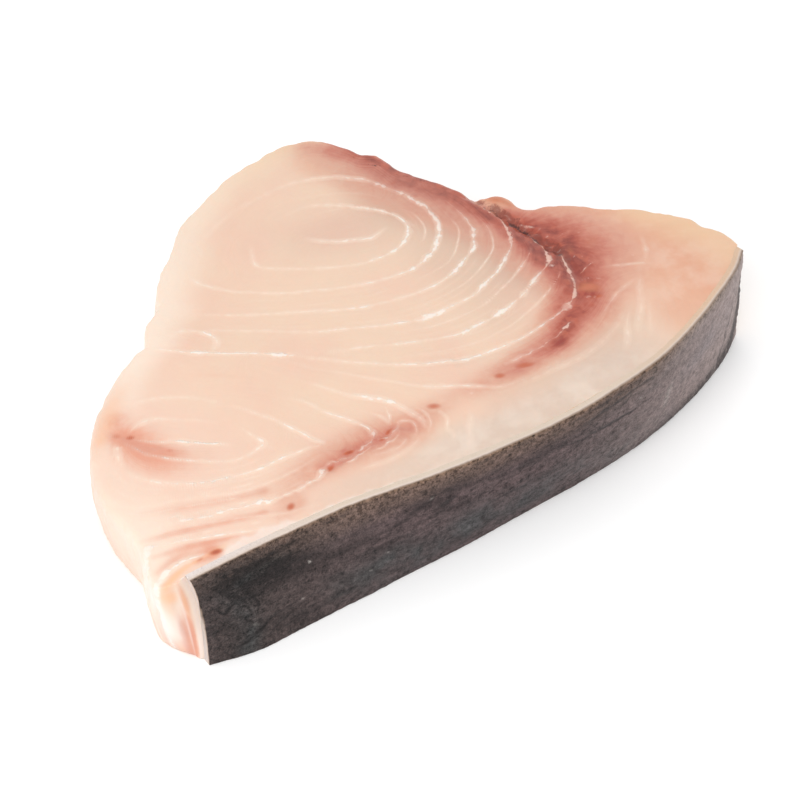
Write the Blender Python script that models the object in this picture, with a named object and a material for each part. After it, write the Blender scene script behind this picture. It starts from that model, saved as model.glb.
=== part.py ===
# Swordfish steak, raw: one slab cut straight across the fish, 30 mm thick, with the skin left on
# along one side. +X runs along the skin, the skin faces -Y, and the flat underside lies on z = 0.
import math

import bmesh
import bpy
import numpy as np

MM = 0.001  # every size below is in millimetres

# Driving dimensions
THICKNESS = 30.0
SKIN_THICKNESS = 1.8
SKIN_GAP = 0.3
FOOT_ROUNDING = 0.8
SKIN_EDGE_ROUNDING = 0.5

# How finely the solids are faceted
FACE_CELLS = 40
ROUNDING_ROWS = 3
WALL_ROWS = 6
SKIN_COLUMNS = 56
SKIN_ROWS = 6

# Line of the skin's outer face seen from above: x, y at the top cut, y at the underside,
# and how far the skin stands out between the two
SKIN_LINE = (
    (-74.0, -14.6, -16.3, 0.2),
    (-62.0, -15.4, -19.9, 0.6),
    (-50.0, -16.5, -21.2, 0.8),
    (-31.0, -19.7, -22.9, 0.9),
    (-6.0, -25.5, -25.3, 0.9),
    (12.0, -28.7, -26.5, 0.9),
    (34.0, -30.8, -27.8, 0.9),
    (54.0, -30.4, -27.8, 0.8),
    (71.0, -26.9, -25.4, 0.6),
    (85.0, -22.6, -22.0, 0.4),
    (95.0, -18.5, -18.1, 0.2),
    (101.5, -14.3, -14.6, 0.0),
)
SKIN_LEFT_X = (-74.0, -71.4)  # the left end is cut slightly askew: x at the top, x at the underside

# Free edge of the flesh from the right end of the skin, round the back, to its left end:
# x, y of the upper edge, then how far the foot lies from it in x and y,
# how far the wall swells between them, and the rounding of the upper edge
FREE_EDGE = (
    (101.8, -11.8, -0.4, 0.0, 0.0, 0.5),
    (102.6, -8.4, -0.4, 0.0, 0.2, 0.6),
    (102.0, -4.4, 0.0, 0.2, 0.4, 0.8),
    (100.2, -0.9, 0.2, 0.2, 0.6, 0.8),
    (99.6, 3.2, 0.3, 0.4, 0.8, 0.8),
    (95.4, 9.2, 0.6, 0.6, 1.0, 0.8),
    (90.7, 15.1, 0.7, 0.7, 1.0, 0.8),
    (85.1, 20.2, 0.7, 0.7, 1.0, 0.8),
    (80.5, 25.7, 0.6, 0.7, 1.0, 0.8),
    (74.6, 30.4, 0.2, 0.5, 0.8, 0.8),
    (70.6, 32.2, -0.6, 0.0, 0.6, 0.8),
    (68.6, 34.4, -1.0, -0.6, 0.4, 0.7),
    (68.9, 38.2, -1.6, -1.2, 0.4, 1.2),
    (67.2, 41.5, -1.6, -1.6, 0.4, 1.2),
    (64.1, 43.5, -1.0, -1.2, 0.4, 1.0),
    (61.9, 46.0, -0.4, -0.6, 0.6, 1.0),
    (59.8, 52.8, 0.4, 0.0, 1.0, 1.4),
    (56.8, 59.6, 0.8, 0.2, 1.4, 1.6),
    (54.2, 66.2, 1.0, 0.2, 1.6, 1.6),
    (53.6, 73.4, 0.6, 0.0, 1.4, 1.2),
    (51.0, 77.2, 1.0, 0.2, 1.4, 1.6),
    (48.7, 83.4, 1.0, 0.4, 1.4, 1.4),
    (45.2, 89.2, 0.8, 0.8, 1.2, 1.2),
    (40.6, 91.8, 0.4, 1.0, 1.0, 1.0),
    (34.3, 92.9, 0.2, 1.2, 1.0, 0.8),
    (28.0, 92.4, 0.0, 1.2, 1.0, 0.8),
    (19.7, 91.8, -0.2, 1.2, 1.0, 0.8),
    (11.0, 89.6, -0.2, 1.2, 1.0, 0.8),
    (1.0, 86.4, -0.3, 1.1, 1.0, 0.8),
    (-4.5, 83.6, -0.4, 1.0, 1.0, 0.8),
    (-12.8, 76.4, -0.6, 0.8, 1.0, 0.8),
    (-18.6, 72.3, -0.8, 0.6, 1.0, 0.8),
    (-23.6, 66.8, -0.6, 0.4, 0.8, 0.8),
    (-26.2, 63.0, -0.4, 0.2, 0.8, 0.8),
    (-31.9, 60.2, -0.4, 0.2, 0.6, 0.8),
    (-34.2, 57.4, -0.2, -0.4, 0.4, 0.8),
    (-36.6, 54.4, 0.0, -0.4, 0.4, 1.0),
    (-41.0, 53.3, -0.4, 0.2, 0.8, 1.2),
    (-47.4, 50.6, -0.4, 0.4, 1.2, 1.8),
    (-54.2, 46.8, -0.2, 0.2, 1.4, 2.4),
    (-60.8, 41.8, 0.4, 0.0, 1.2, 2.8),
    (-66.4, 35.4, 1.6, -0.4, 1.0, 2.8),
    (-70.6, 29.0, 3.6, 0.4, 1.0, 2.8),
    (-73.6, 22.4, 5.4, 0.8, 1.0, 2.6),
    (-75.0, 16.4, 6.4, 1.2, 0.8, 2.4),
    (-75.4, 10.0, 6.4, 1.6, 0.6, 2.0),
    (-76.2, 3.4, 5.4, 3.2, 0.6, 1.6),
    (-78.4, -3.0, 3.6, 3.6, 0.6, 1.3),
    (-81.2, -8.8, 5.4, 4.4, 0.6, 1.1),
    (-80.4, -12.0, 5.6, 1.6, 0.4, 0.8),
    (-77.0, -13.0, 4.4, -0.2, 0.3, 0.6),
)
HUB = (10.0, 25.0)  # every point of the edge is in plain sight from here

# Grooves in the upper face: depth, half width, and the points that they run through
SEAMS = (
    (1.3, 2.0, ((60.6, 48.0), (62.0, 42.0), (63.2, 35.0), (64.2, 27.0), (65.0, 19.0), (66.0, 11.0))),
    (0.5, 2.2, ((64.5, 13.0), (61.5, 4.5), (57.0, 0.2), (47.0, -2.2), (33.0, -2.0), (20.0, 1.2))),
    (0.6, 2.2, ((-34.0, -7.6), (-24.0, -6.6), (-14.0, -6.2), (-5.0, -6.4))),
    (0.5, 2.4, ((-60.0, 35.0), (-57.0, 31.0), (-54.0, 26.0), (-49.0, 21.0))),
)
SWELL_HEIGHT = 0.35  # slow rise and fall of the cut face
SWELL_LENGTH = 46.0

FLESH_COLOUR = (0.84, 0.62, 0.48, 1.0)
SKIN_COLOUR = (0.085, 0.075, 0.075, 1.0)


def smooth_path(rows, count):
    """Catmull-Rom curve through the rows, sampled at even lengths along its first two columns."""
    rows = np.asarray(rows, float)
    ends = np.vstack([2 * rows[0] - rows[1], rows, 2 * rows[-1] - rows[-2]])
    t = np.linspace(0, len(rows) - 1, 24 * len(rows))
    i = np.minimum(t.astype(int), len(rows) - 2)
    f = (t - i)[:, None]
    a, b, c, d = ends[i], ends[i + 1], ends[i + 2], ends[i + 3]
    bend = (2 * a - 5 * b + 4 * c - d) * f**2 + (3 * b - a - 3 * c + d) * f**3
    fine = b + 0.5 * ((c - a) * f + bend)
    steps = np.hypot(*np.diff(fine[:, :2], axis=0).T)
    length = np.concatenate([[0], np.cumsum(steps)])
    at = np.linspace(0, length[-1], count)
    return np.stack([np.interp(at, length, column) for column in fine.T], -1)


def across(path):
    """Unit vectors to the right of a path seen from above."""
    along = np.gradient(path[:, :2], axis=0)
    along /= np.hypot(along[:, 0], along[:, 1])[:, None]
    return np.stack([along[:, 1], -along[:, 0]], -1)


def skin_face(count, depth):
    """Upper and lower lines of the skin, left to right, at a depth under its outer face,
    and how far it stands out between them."""
    line = smooth_path(SKIN_LINE, count)
    run = np.linspace(0, 1, count)
    left_top, left_foot = SKIN_LEFT_X
    top = line[:, :2].copy()
    foot = line[:, [0, 2]].copy()
    foot[:, 0] += (left_foot - left_top) * (1 - run) ** 3
    top -= across(top) * depth
    foot -= across(foot) * depth
    return top, foot, line[:, 3]


def flesh_edge(cells):
    """The flesh's whole edge, counter-clockwise from the left end of the skin, 4 * cells points:
    upper edge, foot, swell of the wall, rounding of the upper edge."""
    free_length = np.hypot(*np.diff(np.array(FREE_EDGE)[:, :2], axis=0).T).sum()
    skin_length = np.hypot(*np.diff(np.array(SKIN_LINE)[:, :2], axis=0).T).sum()
    total = 4 * cells
    skin_count = round(total * skin_length / (skin_length + free_length))
    top, foot, bow = skin_face(skin_count, SKIN_THICKNESS + SKIN_GAP)
    free = smooth_path(FREE_EDGE, total - skin_count)
    swell = np.concatenate([bow, free[:, 4]])
    rounding = np.concatenate([np.full(skin_count, SKIN_EDGE_ROUNDING), free[:, 5]])
    upper = np.vstack([top, free[:, :2]])
    lower = np.vstack([foot, free[:, :2] + free[:, 2:4]])
    return upper, lower, swell, rounding


def outward(loop):
    """Outward unit vectors of a closed counter-clockwise loop."""
    along = np.roll(loop, -1, 0) - np.roll(loop, 1, 0)
    normal = np.stack([along[:, 1], -along[:, 0]], -1)
    return normal / np.hypot(normal[:, 0], normal[:, 1])[:, None]


def face_height(x, y):
    """Height of the cut face: flat, with a slow swell and the grooves along the seams."""
    rise = math.sin(2 * math.pi * (x + 0.4 * y) / SWELL_LENGTH)
    height = THICKNESS + SWELL_HEIGHT * rise * math.cos(math.pi * (y - 0.3 * x) / SWELL_LENGTH)
    for depth, width, points in SEAMS:
        path = SEAM_PATHS[points]
        gap = np.hypot(path[:, 0] - x, path[:, 1] - y).min()
        height -= depth * math.exp(-((gap / width) ** 2))
    return height


def square_to_disc(a, b):
    """Concentric map: a point of the square to a radius 0 to 1 and a turn 0 to 1 round the disc."""
    if a == 0 and b == 0:
        return 0.0, 0.0
    if abs(a) >= abs(b):
        radius, angle = a, (math.pi / 4) * (b / a)
    else:
        radius, angle = b, math.pi / 2 - (math.pi / 4) * (a / b)
    if radius < 0:
        radius, angle = -radius, angle + math.pi
    return radius, (angle / (2 * math.pi)) % 1.0


def wall_profile(upper, lower, out, swell, rounding):
    """Points of one line down the wall, from the inner side of the rounded edge to the underside."""
    points = []
    for row in range(1, ROUNDING_ROWS + 1):
        turn = 0.5 * math.pi * row / ROUNDING_ROWS
        back = rounding * (1 - math.sin(turn))
        points.append((upper - out * back, THICKNESS - rounding * (1 - math.cos(turn))))
    start = rounding / THICKNESS
    end = 1 - FOOT_ROUNDING / THICKNESS
    for row in range(1, WALL_ROWS + 1):
        v = start + (end - start) * row / WALL_ROWS
        share = (v - start) / (1 - start)
        spot = upper + (lower - upper) * share + out * swell * math.sin(math.pi * share)
        points.append((spot, THICKNESS * (1 - v)))
    points.append((lower - out * FOOT_ROUNDING, 0.0))
    return points


def make_flesh(shift):
    """The slab: a grid pulled out to the rounded edge, walls drawn down from its rim, a flat base."""
    upper, lower, swell, rounding = flesh_edge(FACE_CELLS)
    out = outward(upper)
    hub = np.array(HUB)
    rim_count = len(upper)
    bm = bmesh.new()
    bmesh.ops.create_grid(bm, x_segments=FACE_CELLS, y_segments=FACE_CELLS, size=1.0)
    rim_index = {}
    for vert in bm.verts:
        radius, turn = square_to_disc(round(vert.co.x, 6), round(vert.co.y, 6))
        index = round(turn * rim_count) % rim_count
        here = turn * rim_count
        low = int(here) % rim_count
        blend = here - int(here)
        inner = upper - out * rounding[:, None]
        edge = inner[low] * (1 - blend) + inner[(low + 1) % rim_count] * blend
        spot = hub + radius * (edge - hub)
        if vert.is_boundary:
            rim_index[vert] = index
            spot = inner[index]
        rim_fade = min(1.0, (1 - radius) * 12)
        height = THICKNESS + (face_height(*spot) - THICKNESS) * rim_fade
        vert.co = (*spot, height)
    loop = dict(rim_index)
    profiles = [wall_profile(*values) for values in zip(upper, lower, out, swell, rounding)]
    for row in range(len(profiles[0])):
        edges = [e for e in bm.edges if e.is_boundary]
        drawn = bmesh.ops.extrude_edge_only(bm, edges=edges)["geom"]
        lowered = {}
        for vert in (g for g in drawn if isinstance(g, bmesh.types.BMVert)):
            above = next(e.other_vert(vert) for e in vert.link_edges if e.other_vert(vert) in loop)
            index = loop[above]
            (x, y), z = profiles[index][row]
            vert.co = (x, y, z)
            lowered[vert] = index
        loop = lowered
    base = bmesh.ops.contextual_create(bm, geom=[e for e in bm.edges if e.is_boundary])
    bmesh.ops.triangulate(bm, faces=base["faces"])
    return finish("flesh", bm, shift, FLESH_COLOUR, 0.35)


def make_skin(shift):
    """The skin: one closed upright section at each column, bridged along the skin's length."""
    top, foot, bow = skin_face(SKIN_COLUMNS + 1, 0)
    out = across(top)
    bm = bmesh.new()
    sections = []
    for column in range(SKIN_COLUMNS + 1):
        outer, inner = [], []
        for row in range(SKIN_ROWS + 1):
            v = row / SKIN_ROWS
            swell = bow[column] * math.sin(math.pi * v)
            spot = top[column] * (1 - v) + foot[column] * v + out[column] * swell
            behind = spot - out[column] * SKIN_THICKNESS
            outer.append(bm.verts.new((*spot, THICKNESS * (1 - v))))
            inner.append(bm.verts.new((*behind, THICKNESS * (1 - v))))
        sections.append(outer + inner[::-1])
    count = len(sections[0])
    for near, far in zip(sections, sections[1:]):
        for k in range(count):
            bm.faces.new((near[k], near[(k + 1) % count], far[(k + 1) % count], far[k]))
    for end in (sections[0], sections[-1]):
        for k in range(SKIN_ROWS):
            bm.faces.new((end[k], end[k + 1], end[count - 2 - k], end[count - 1 - k]))
    return finish("skin", bm, shift, SKIN_COLOUR, 0.5)


def finish(name, bm, shift, colour, roughness):
    """Turns a bmesh in millimetres into a named object in metres, with its own material."""
    bmesh.ops.recalc_face_normals(bm, faces=bm.faces)
    for vert in bm.verts:
        vert.co.x = (vert.co.x - shift[0]) * MM
        vert.co.y = (vert.co.y - shift[1]) * MM
        vert.co.z *= MM
    mesh = bpy.data.meshes.new(name)
    bm.to_mesh(mesh)
    bm.free()
    material = bpy.data.materials.new(name)
    material.use_nodes = True
    shader = material.node_tree.nodes["Principled BSDF"]
    shader.inputs["Base Color"].default_value = colour
    shader.inputs["Roughness"].default_value = roughness
    shader.inputs["Metallic"].default_value = 0.0
    mesh.materials.append(material)
    mesh.shade_smooth()
    mesh.set_sharp_from_angle(angle=math.radians(40))
    body = bpy.data.objects.new(name, mesh)
    bpy.context.scene.collection.objects.link(body)
    return body


def centre_of_steak():
    """Middle of the whole steak seen from above, so that the origin lies under it."""
    upper, lower, swell, rounding = flesh_edge(FACE_CELLS)
    profiles = [wall_profile(*values) for values in zip(upper, lower, outward(upper), swell, rounding)]
    spots = [spot for profile in profiles for spot, height in profile]
    top, foot, bow = skin_face(SKIN_COLUMNS + 1, 0)
    out = across(top)
    for row in range(SKIN_ROWS + 1):
        v = row / SKIN_ROWS
        swell = (bow * math.sin(math.pi * v))[:, None]
        spots.extend(top * (1 - v) + foot * v + out * swell)
    spots = np.array(spots)
    return (spots.min(0) + spots.max(0)) / 2


for thing in list(bpy.data.objects):
    bpy.data.objects.remove(thing)

SEAM_PATHS = {points: smooth_path(points, 40) for depth, width, points in SEAMS}
middle = centre_of_steak()
make_flesh(middle)
make_skin(middle)
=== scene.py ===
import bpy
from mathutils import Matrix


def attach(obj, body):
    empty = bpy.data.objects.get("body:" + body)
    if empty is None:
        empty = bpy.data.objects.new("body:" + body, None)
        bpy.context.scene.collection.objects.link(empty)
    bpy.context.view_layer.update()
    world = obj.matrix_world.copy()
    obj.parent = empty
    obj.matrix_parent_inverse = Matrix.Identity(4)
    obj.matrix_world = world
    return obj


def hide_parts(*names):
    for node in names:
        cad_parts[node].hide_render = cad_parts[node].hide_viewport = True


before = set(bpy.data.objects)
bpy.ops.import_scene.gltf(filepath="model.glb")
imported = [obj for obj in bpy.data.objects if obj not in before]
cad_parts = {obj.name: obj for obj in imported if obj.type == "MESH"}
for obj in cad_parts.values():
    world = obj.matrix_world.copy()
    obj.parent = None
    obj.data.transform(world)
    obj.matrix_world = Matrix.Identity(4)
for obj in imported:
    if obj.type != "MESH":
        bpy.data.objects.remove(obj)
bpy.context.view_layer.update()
print("frame loaded")

import math
from types import SimpleNamespace

import bpy
import numpy as np
from mathutils import Vector

mm = 0.001  # lengths are in millimetres where no note says metres, and places are in the plan's frame
farAway = 99.0  # more than any distance on the steak
strokeStep = 0.5  # between the fine points of a stroke
strokeReach = 2.4  # half widths beyond which a stroke no longer shows

# The plan of the cut: x runs along the skin, and the skin faces -y
plan = {
    "thickness": 30.0,
    "middleX": 10.646,  # the part's origin in this plan
    "middleY": 31.784,
    "hub": (10.0, 25.0),  # every point of the edge is in plain sight from here
    "skinThickness": 1.8,
    "skinGap": 0.3,
    "skinLeftX": (-74.0, -71.4),  # left end of the skin: x at the top, x at the underside
    "endBow": 1.3,  # how far that end is drawn back part of the way down
    "endBowLength": 14.0,
    "endSlant": 1.0,  # how far the skin's inner side reaches past its outer side at the right end
}

# Line of the skin's outer face: x, y at the top cut, y at the underside, swell between the two
skinRows = (
    (-74, -14.6, -16.3, 0.2), (-62, -15.4, -19.9, 0.6), (-50, -16.5, -21.2, 0.8), (-31, -19.7, -22.9, 0.9),
    (-6, -25.5, -25.3, 0.9), (12, -28.7, -26.5, 0.9), (34, -30.8, -27.8, 0.9), (54, -30.4, -27.8, 0.8),
    (71, -26.9, -25.4, 0.6), (85, -22.6, -22, 0.4), (95, -18.5, -18.1, 0.2), (101.5, -14.3, -14.6, 0),
)

# Free edge of the flesh, counter-clockwise from the skin's right end: x, y of the upper edge,
# how far the foot lies from it in x and y, swell of the wall, rounding of the upper edge
edgeRows = (
    (101.9, -11.6, -0.4, 0, 0, 0.2), (102.4, -8.4, -0.4, 0, 0.2, 0.5), (102, -4.4, 0, 0.2, 0.4, 0.8),
    (100.2, -0.9, 0.2, 0.2, 0.6, 0.8), (99.6, 3.2, 0.3, 0.4, 0.8, 0.8), (95.4, 9.2, 0.6, 0.6, 1, 0.8),
    (90.7, 15.1, 0.7, 0.7, 1, 0.8), (85.1, 20.2, 0.7, 0.7, 1, 0.8), (80.5, 25.7, 0.6, 0.7, 1, 0.8),
    (74.6, 30.4, 0.2, 0.5, 0.8, 0.8), (70.6, 32.2, -0.6, 0, 0.6, 0.8), (68.6, 34.4, -1, -0.6, 0.4, 0.7),
    (68.9, 38.2, -1.6, -1.2, 0.4, 1.2), (67.2, 41.5, -1.6, -1.6, 0.4, 1.2), (64.1, 43.5, -1, -1.2, 0.4, 1),
    (61.9, 46, -0.4, -0.6, 0.6, 1), (59.8, 52.8, 0.4, 0, 1, 1.4), (56.8, 59.6, 0.8, 0.2, 1.4, 1.6),
    (54.2, 66.2, 1, 0.2, 1.6, 1.6), (53.6, 73.4, 0.6, 0, 1.4, 1.2), (51, 77.2, 1, 0.2, 1.4, 1.6),
    (48.7, 83.4, 1, 0.4, 1.4, 1.4), (45.2, 89.2, 0.8, 0.8, 1.2, 1.2), (40.6, 91.8, 0.4, 1, 1, 1),
    (34.3, 92.9, 0.2, 1.2, 1, 0.8), (28, 92.4, 0, 1.2, 1, 0.8), (19.7, 91.8, -0.2, 1.2, 1, 0.8),
    (11, 89.6, -0.2, 1.2, 1, 0.8), (1, 86.4, -0.3, 1.1, 1, 0.8), (-4.5, 83.6, -0.4, 1, 1, 0.8),
    (-12.8, 76.4, -0.6, 0.8, 1, 0.8), (-18.6, 72.3, -0.8, 0.6, 1, 0.8), (-23.6, 66.8, -0.6, 0.4, 0.8, 0.8),
    (-26.2, 63, -0.4, 0.2, 0.8, 0.8), (-31.9, 60.2, -0.4, 0.2, 0.6, 0.8),
    (-34.2, 57.4, -0.2, -0.4, 0.4, 0.8), (-36.6, 54.4, 0, -0.4, 0.4, 1), (-41, 53.3, -0.4, 0.2, 0.8, 1.2),
    (-47.4, 50.6, -0.4, 0.4, 1.2, 1.8), (-54.2, 46.8, -0.2, 0.2, 1.4, 2.4),
    (-60.8, 41.8, 0.4, 0, 1.2, 2.8), (-66.4, 35.4, 1.6, -0.4, 1, 2.8), (-70.6, 29, 3.6, 0.4, 1, 2.8),
    (-73.6, 22.4, 5.4, 0.8, 1, 2.6), (-75, 16.4, 6.4, 1.2, 0.8, 2.4), (-75.4, 10, 6.4, 1.6, 0.6, 2),
    (-76.2, 3.4, 5, 3, 0.6, 1.6), (-78.4, -3, 3.6, 3.2, 0.6, 1.3), (-81.2, -8.8, 5.8, 3.6, 0.4, 1.1),
    (-80.4, -12, 7, 2.2, 0.2, 0.7), (-77, -13, 4.8, 0.8, 0.2, 0.4), (-74.5, -12.7, 2.7, -0.9, 0.2, 0.2),
)


def smoothPath(rows, count):
    # Catmull-Rom curve through the rows, sampled at even lengths along its first two columns
    rows = np.asarray(rows, float)
    ends = np.vstack([2 * rows[0] - rows[1], rows, 2 * rows[-1] - rows[-2]])
    t = np.linspace(0, len(rows) - 1, 24 * len(rows))
    i = np.minimum(t.astype(int), len(rows) - 2)
    f = (t - i)[:, None]
    a, b, c, d = ends[i], ends[i + 1], ends[i + 2], ends[i + 3]
    bend = (2 * a - 5 * b + 4 * c - d) * f**2 + (3 * b - a - 3 * c + d) * f**3
    fine = b + 0.5 * ((c - a) * f + bend)
    length = np.concatenate([[0], np.cumsum(np.hypot(*np.diff(fine[:, :2], axis=0).T))])
    at = np.linspace(0, length[-1], count)
    return np.stack([np.interp(at, length, column) for column in fine.T], -1)


def pathLength(rows):
    return np.hypot(*np.diff(np.array(rows, float)[:, :2], axis=0).T).sum()


def across(path):
    # unit vectors to the right of a path
    along = np.gradient(path[:, :2], axis=0)
    along /= np.hypot(along[:, 0], along[:, 1])[:, None]
    return np.stack([along[:, 1], -along[:, 0]], -1)


def smoothstep(low, high, value):
    t = np.clip((value - low) / (high - low), 0, 1)
    return t * t * (3 - 2 * t)


def softNoise(x, y, size, seed):
    # value noise from -1 to 1: random numbers on a square lattice, blended smoothly between them
    table = np.random.default_rng(seed).uniform(-1, 1, (64, 64))
    u, v = x / size, y / size
    i, j = np.floor(u).astype(int), np.floor(v).astype(int)
    f, g = u - i, v - j
    f, g = f * f * (3 - 2 * f), g * g * (3 - 2 * g)
    low = table[i % 64, j % 64] * (1 - f) + table[(i + 1) % 64, j % 64] * f
    high = table[i % 64, (j + 1) % 64] * (1 - f) + table[(i + 1) % 64, (j + 1) % 64] * f
    return low * (1 - g) + high * g


def noises(x, y, parts):
    # soft noises added up, each given as its amount, its size in millimetres and its seed
    return sum(amount * softNoise(x, y, size, seed) for amount, size, seed in parts)


def endBow(fromEnd, share):
    # how far a point near the skin's left end is drawn back, from its distance to that end in
    # millimetres and its share of the way down
    fade = np.clip(1 - fromEnd / plan["endBowLength"], 0, 1) ** 2
    return plan["endBow"] * fade * np.sin(math.pi * share ** 0.75)


def skinLines(count, depth):
    # upper and lower lines of the skin at a depth under its outer face, and its swell
    line = smoothPath(skinRows, count)
    run = np.linspace(0, 1, count)
    leftTop, leftFoot = plan["skinLeftX"]
    top, foot = line[:, :2].copy(), line[:, [0, 2]].copy()
    foot[:, 0] += (leftFoot - leftTop) * (1 - run) ** 3
    return top - across(top) * depth, foot - across(foot) * depth, line[:, 3]


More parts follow.
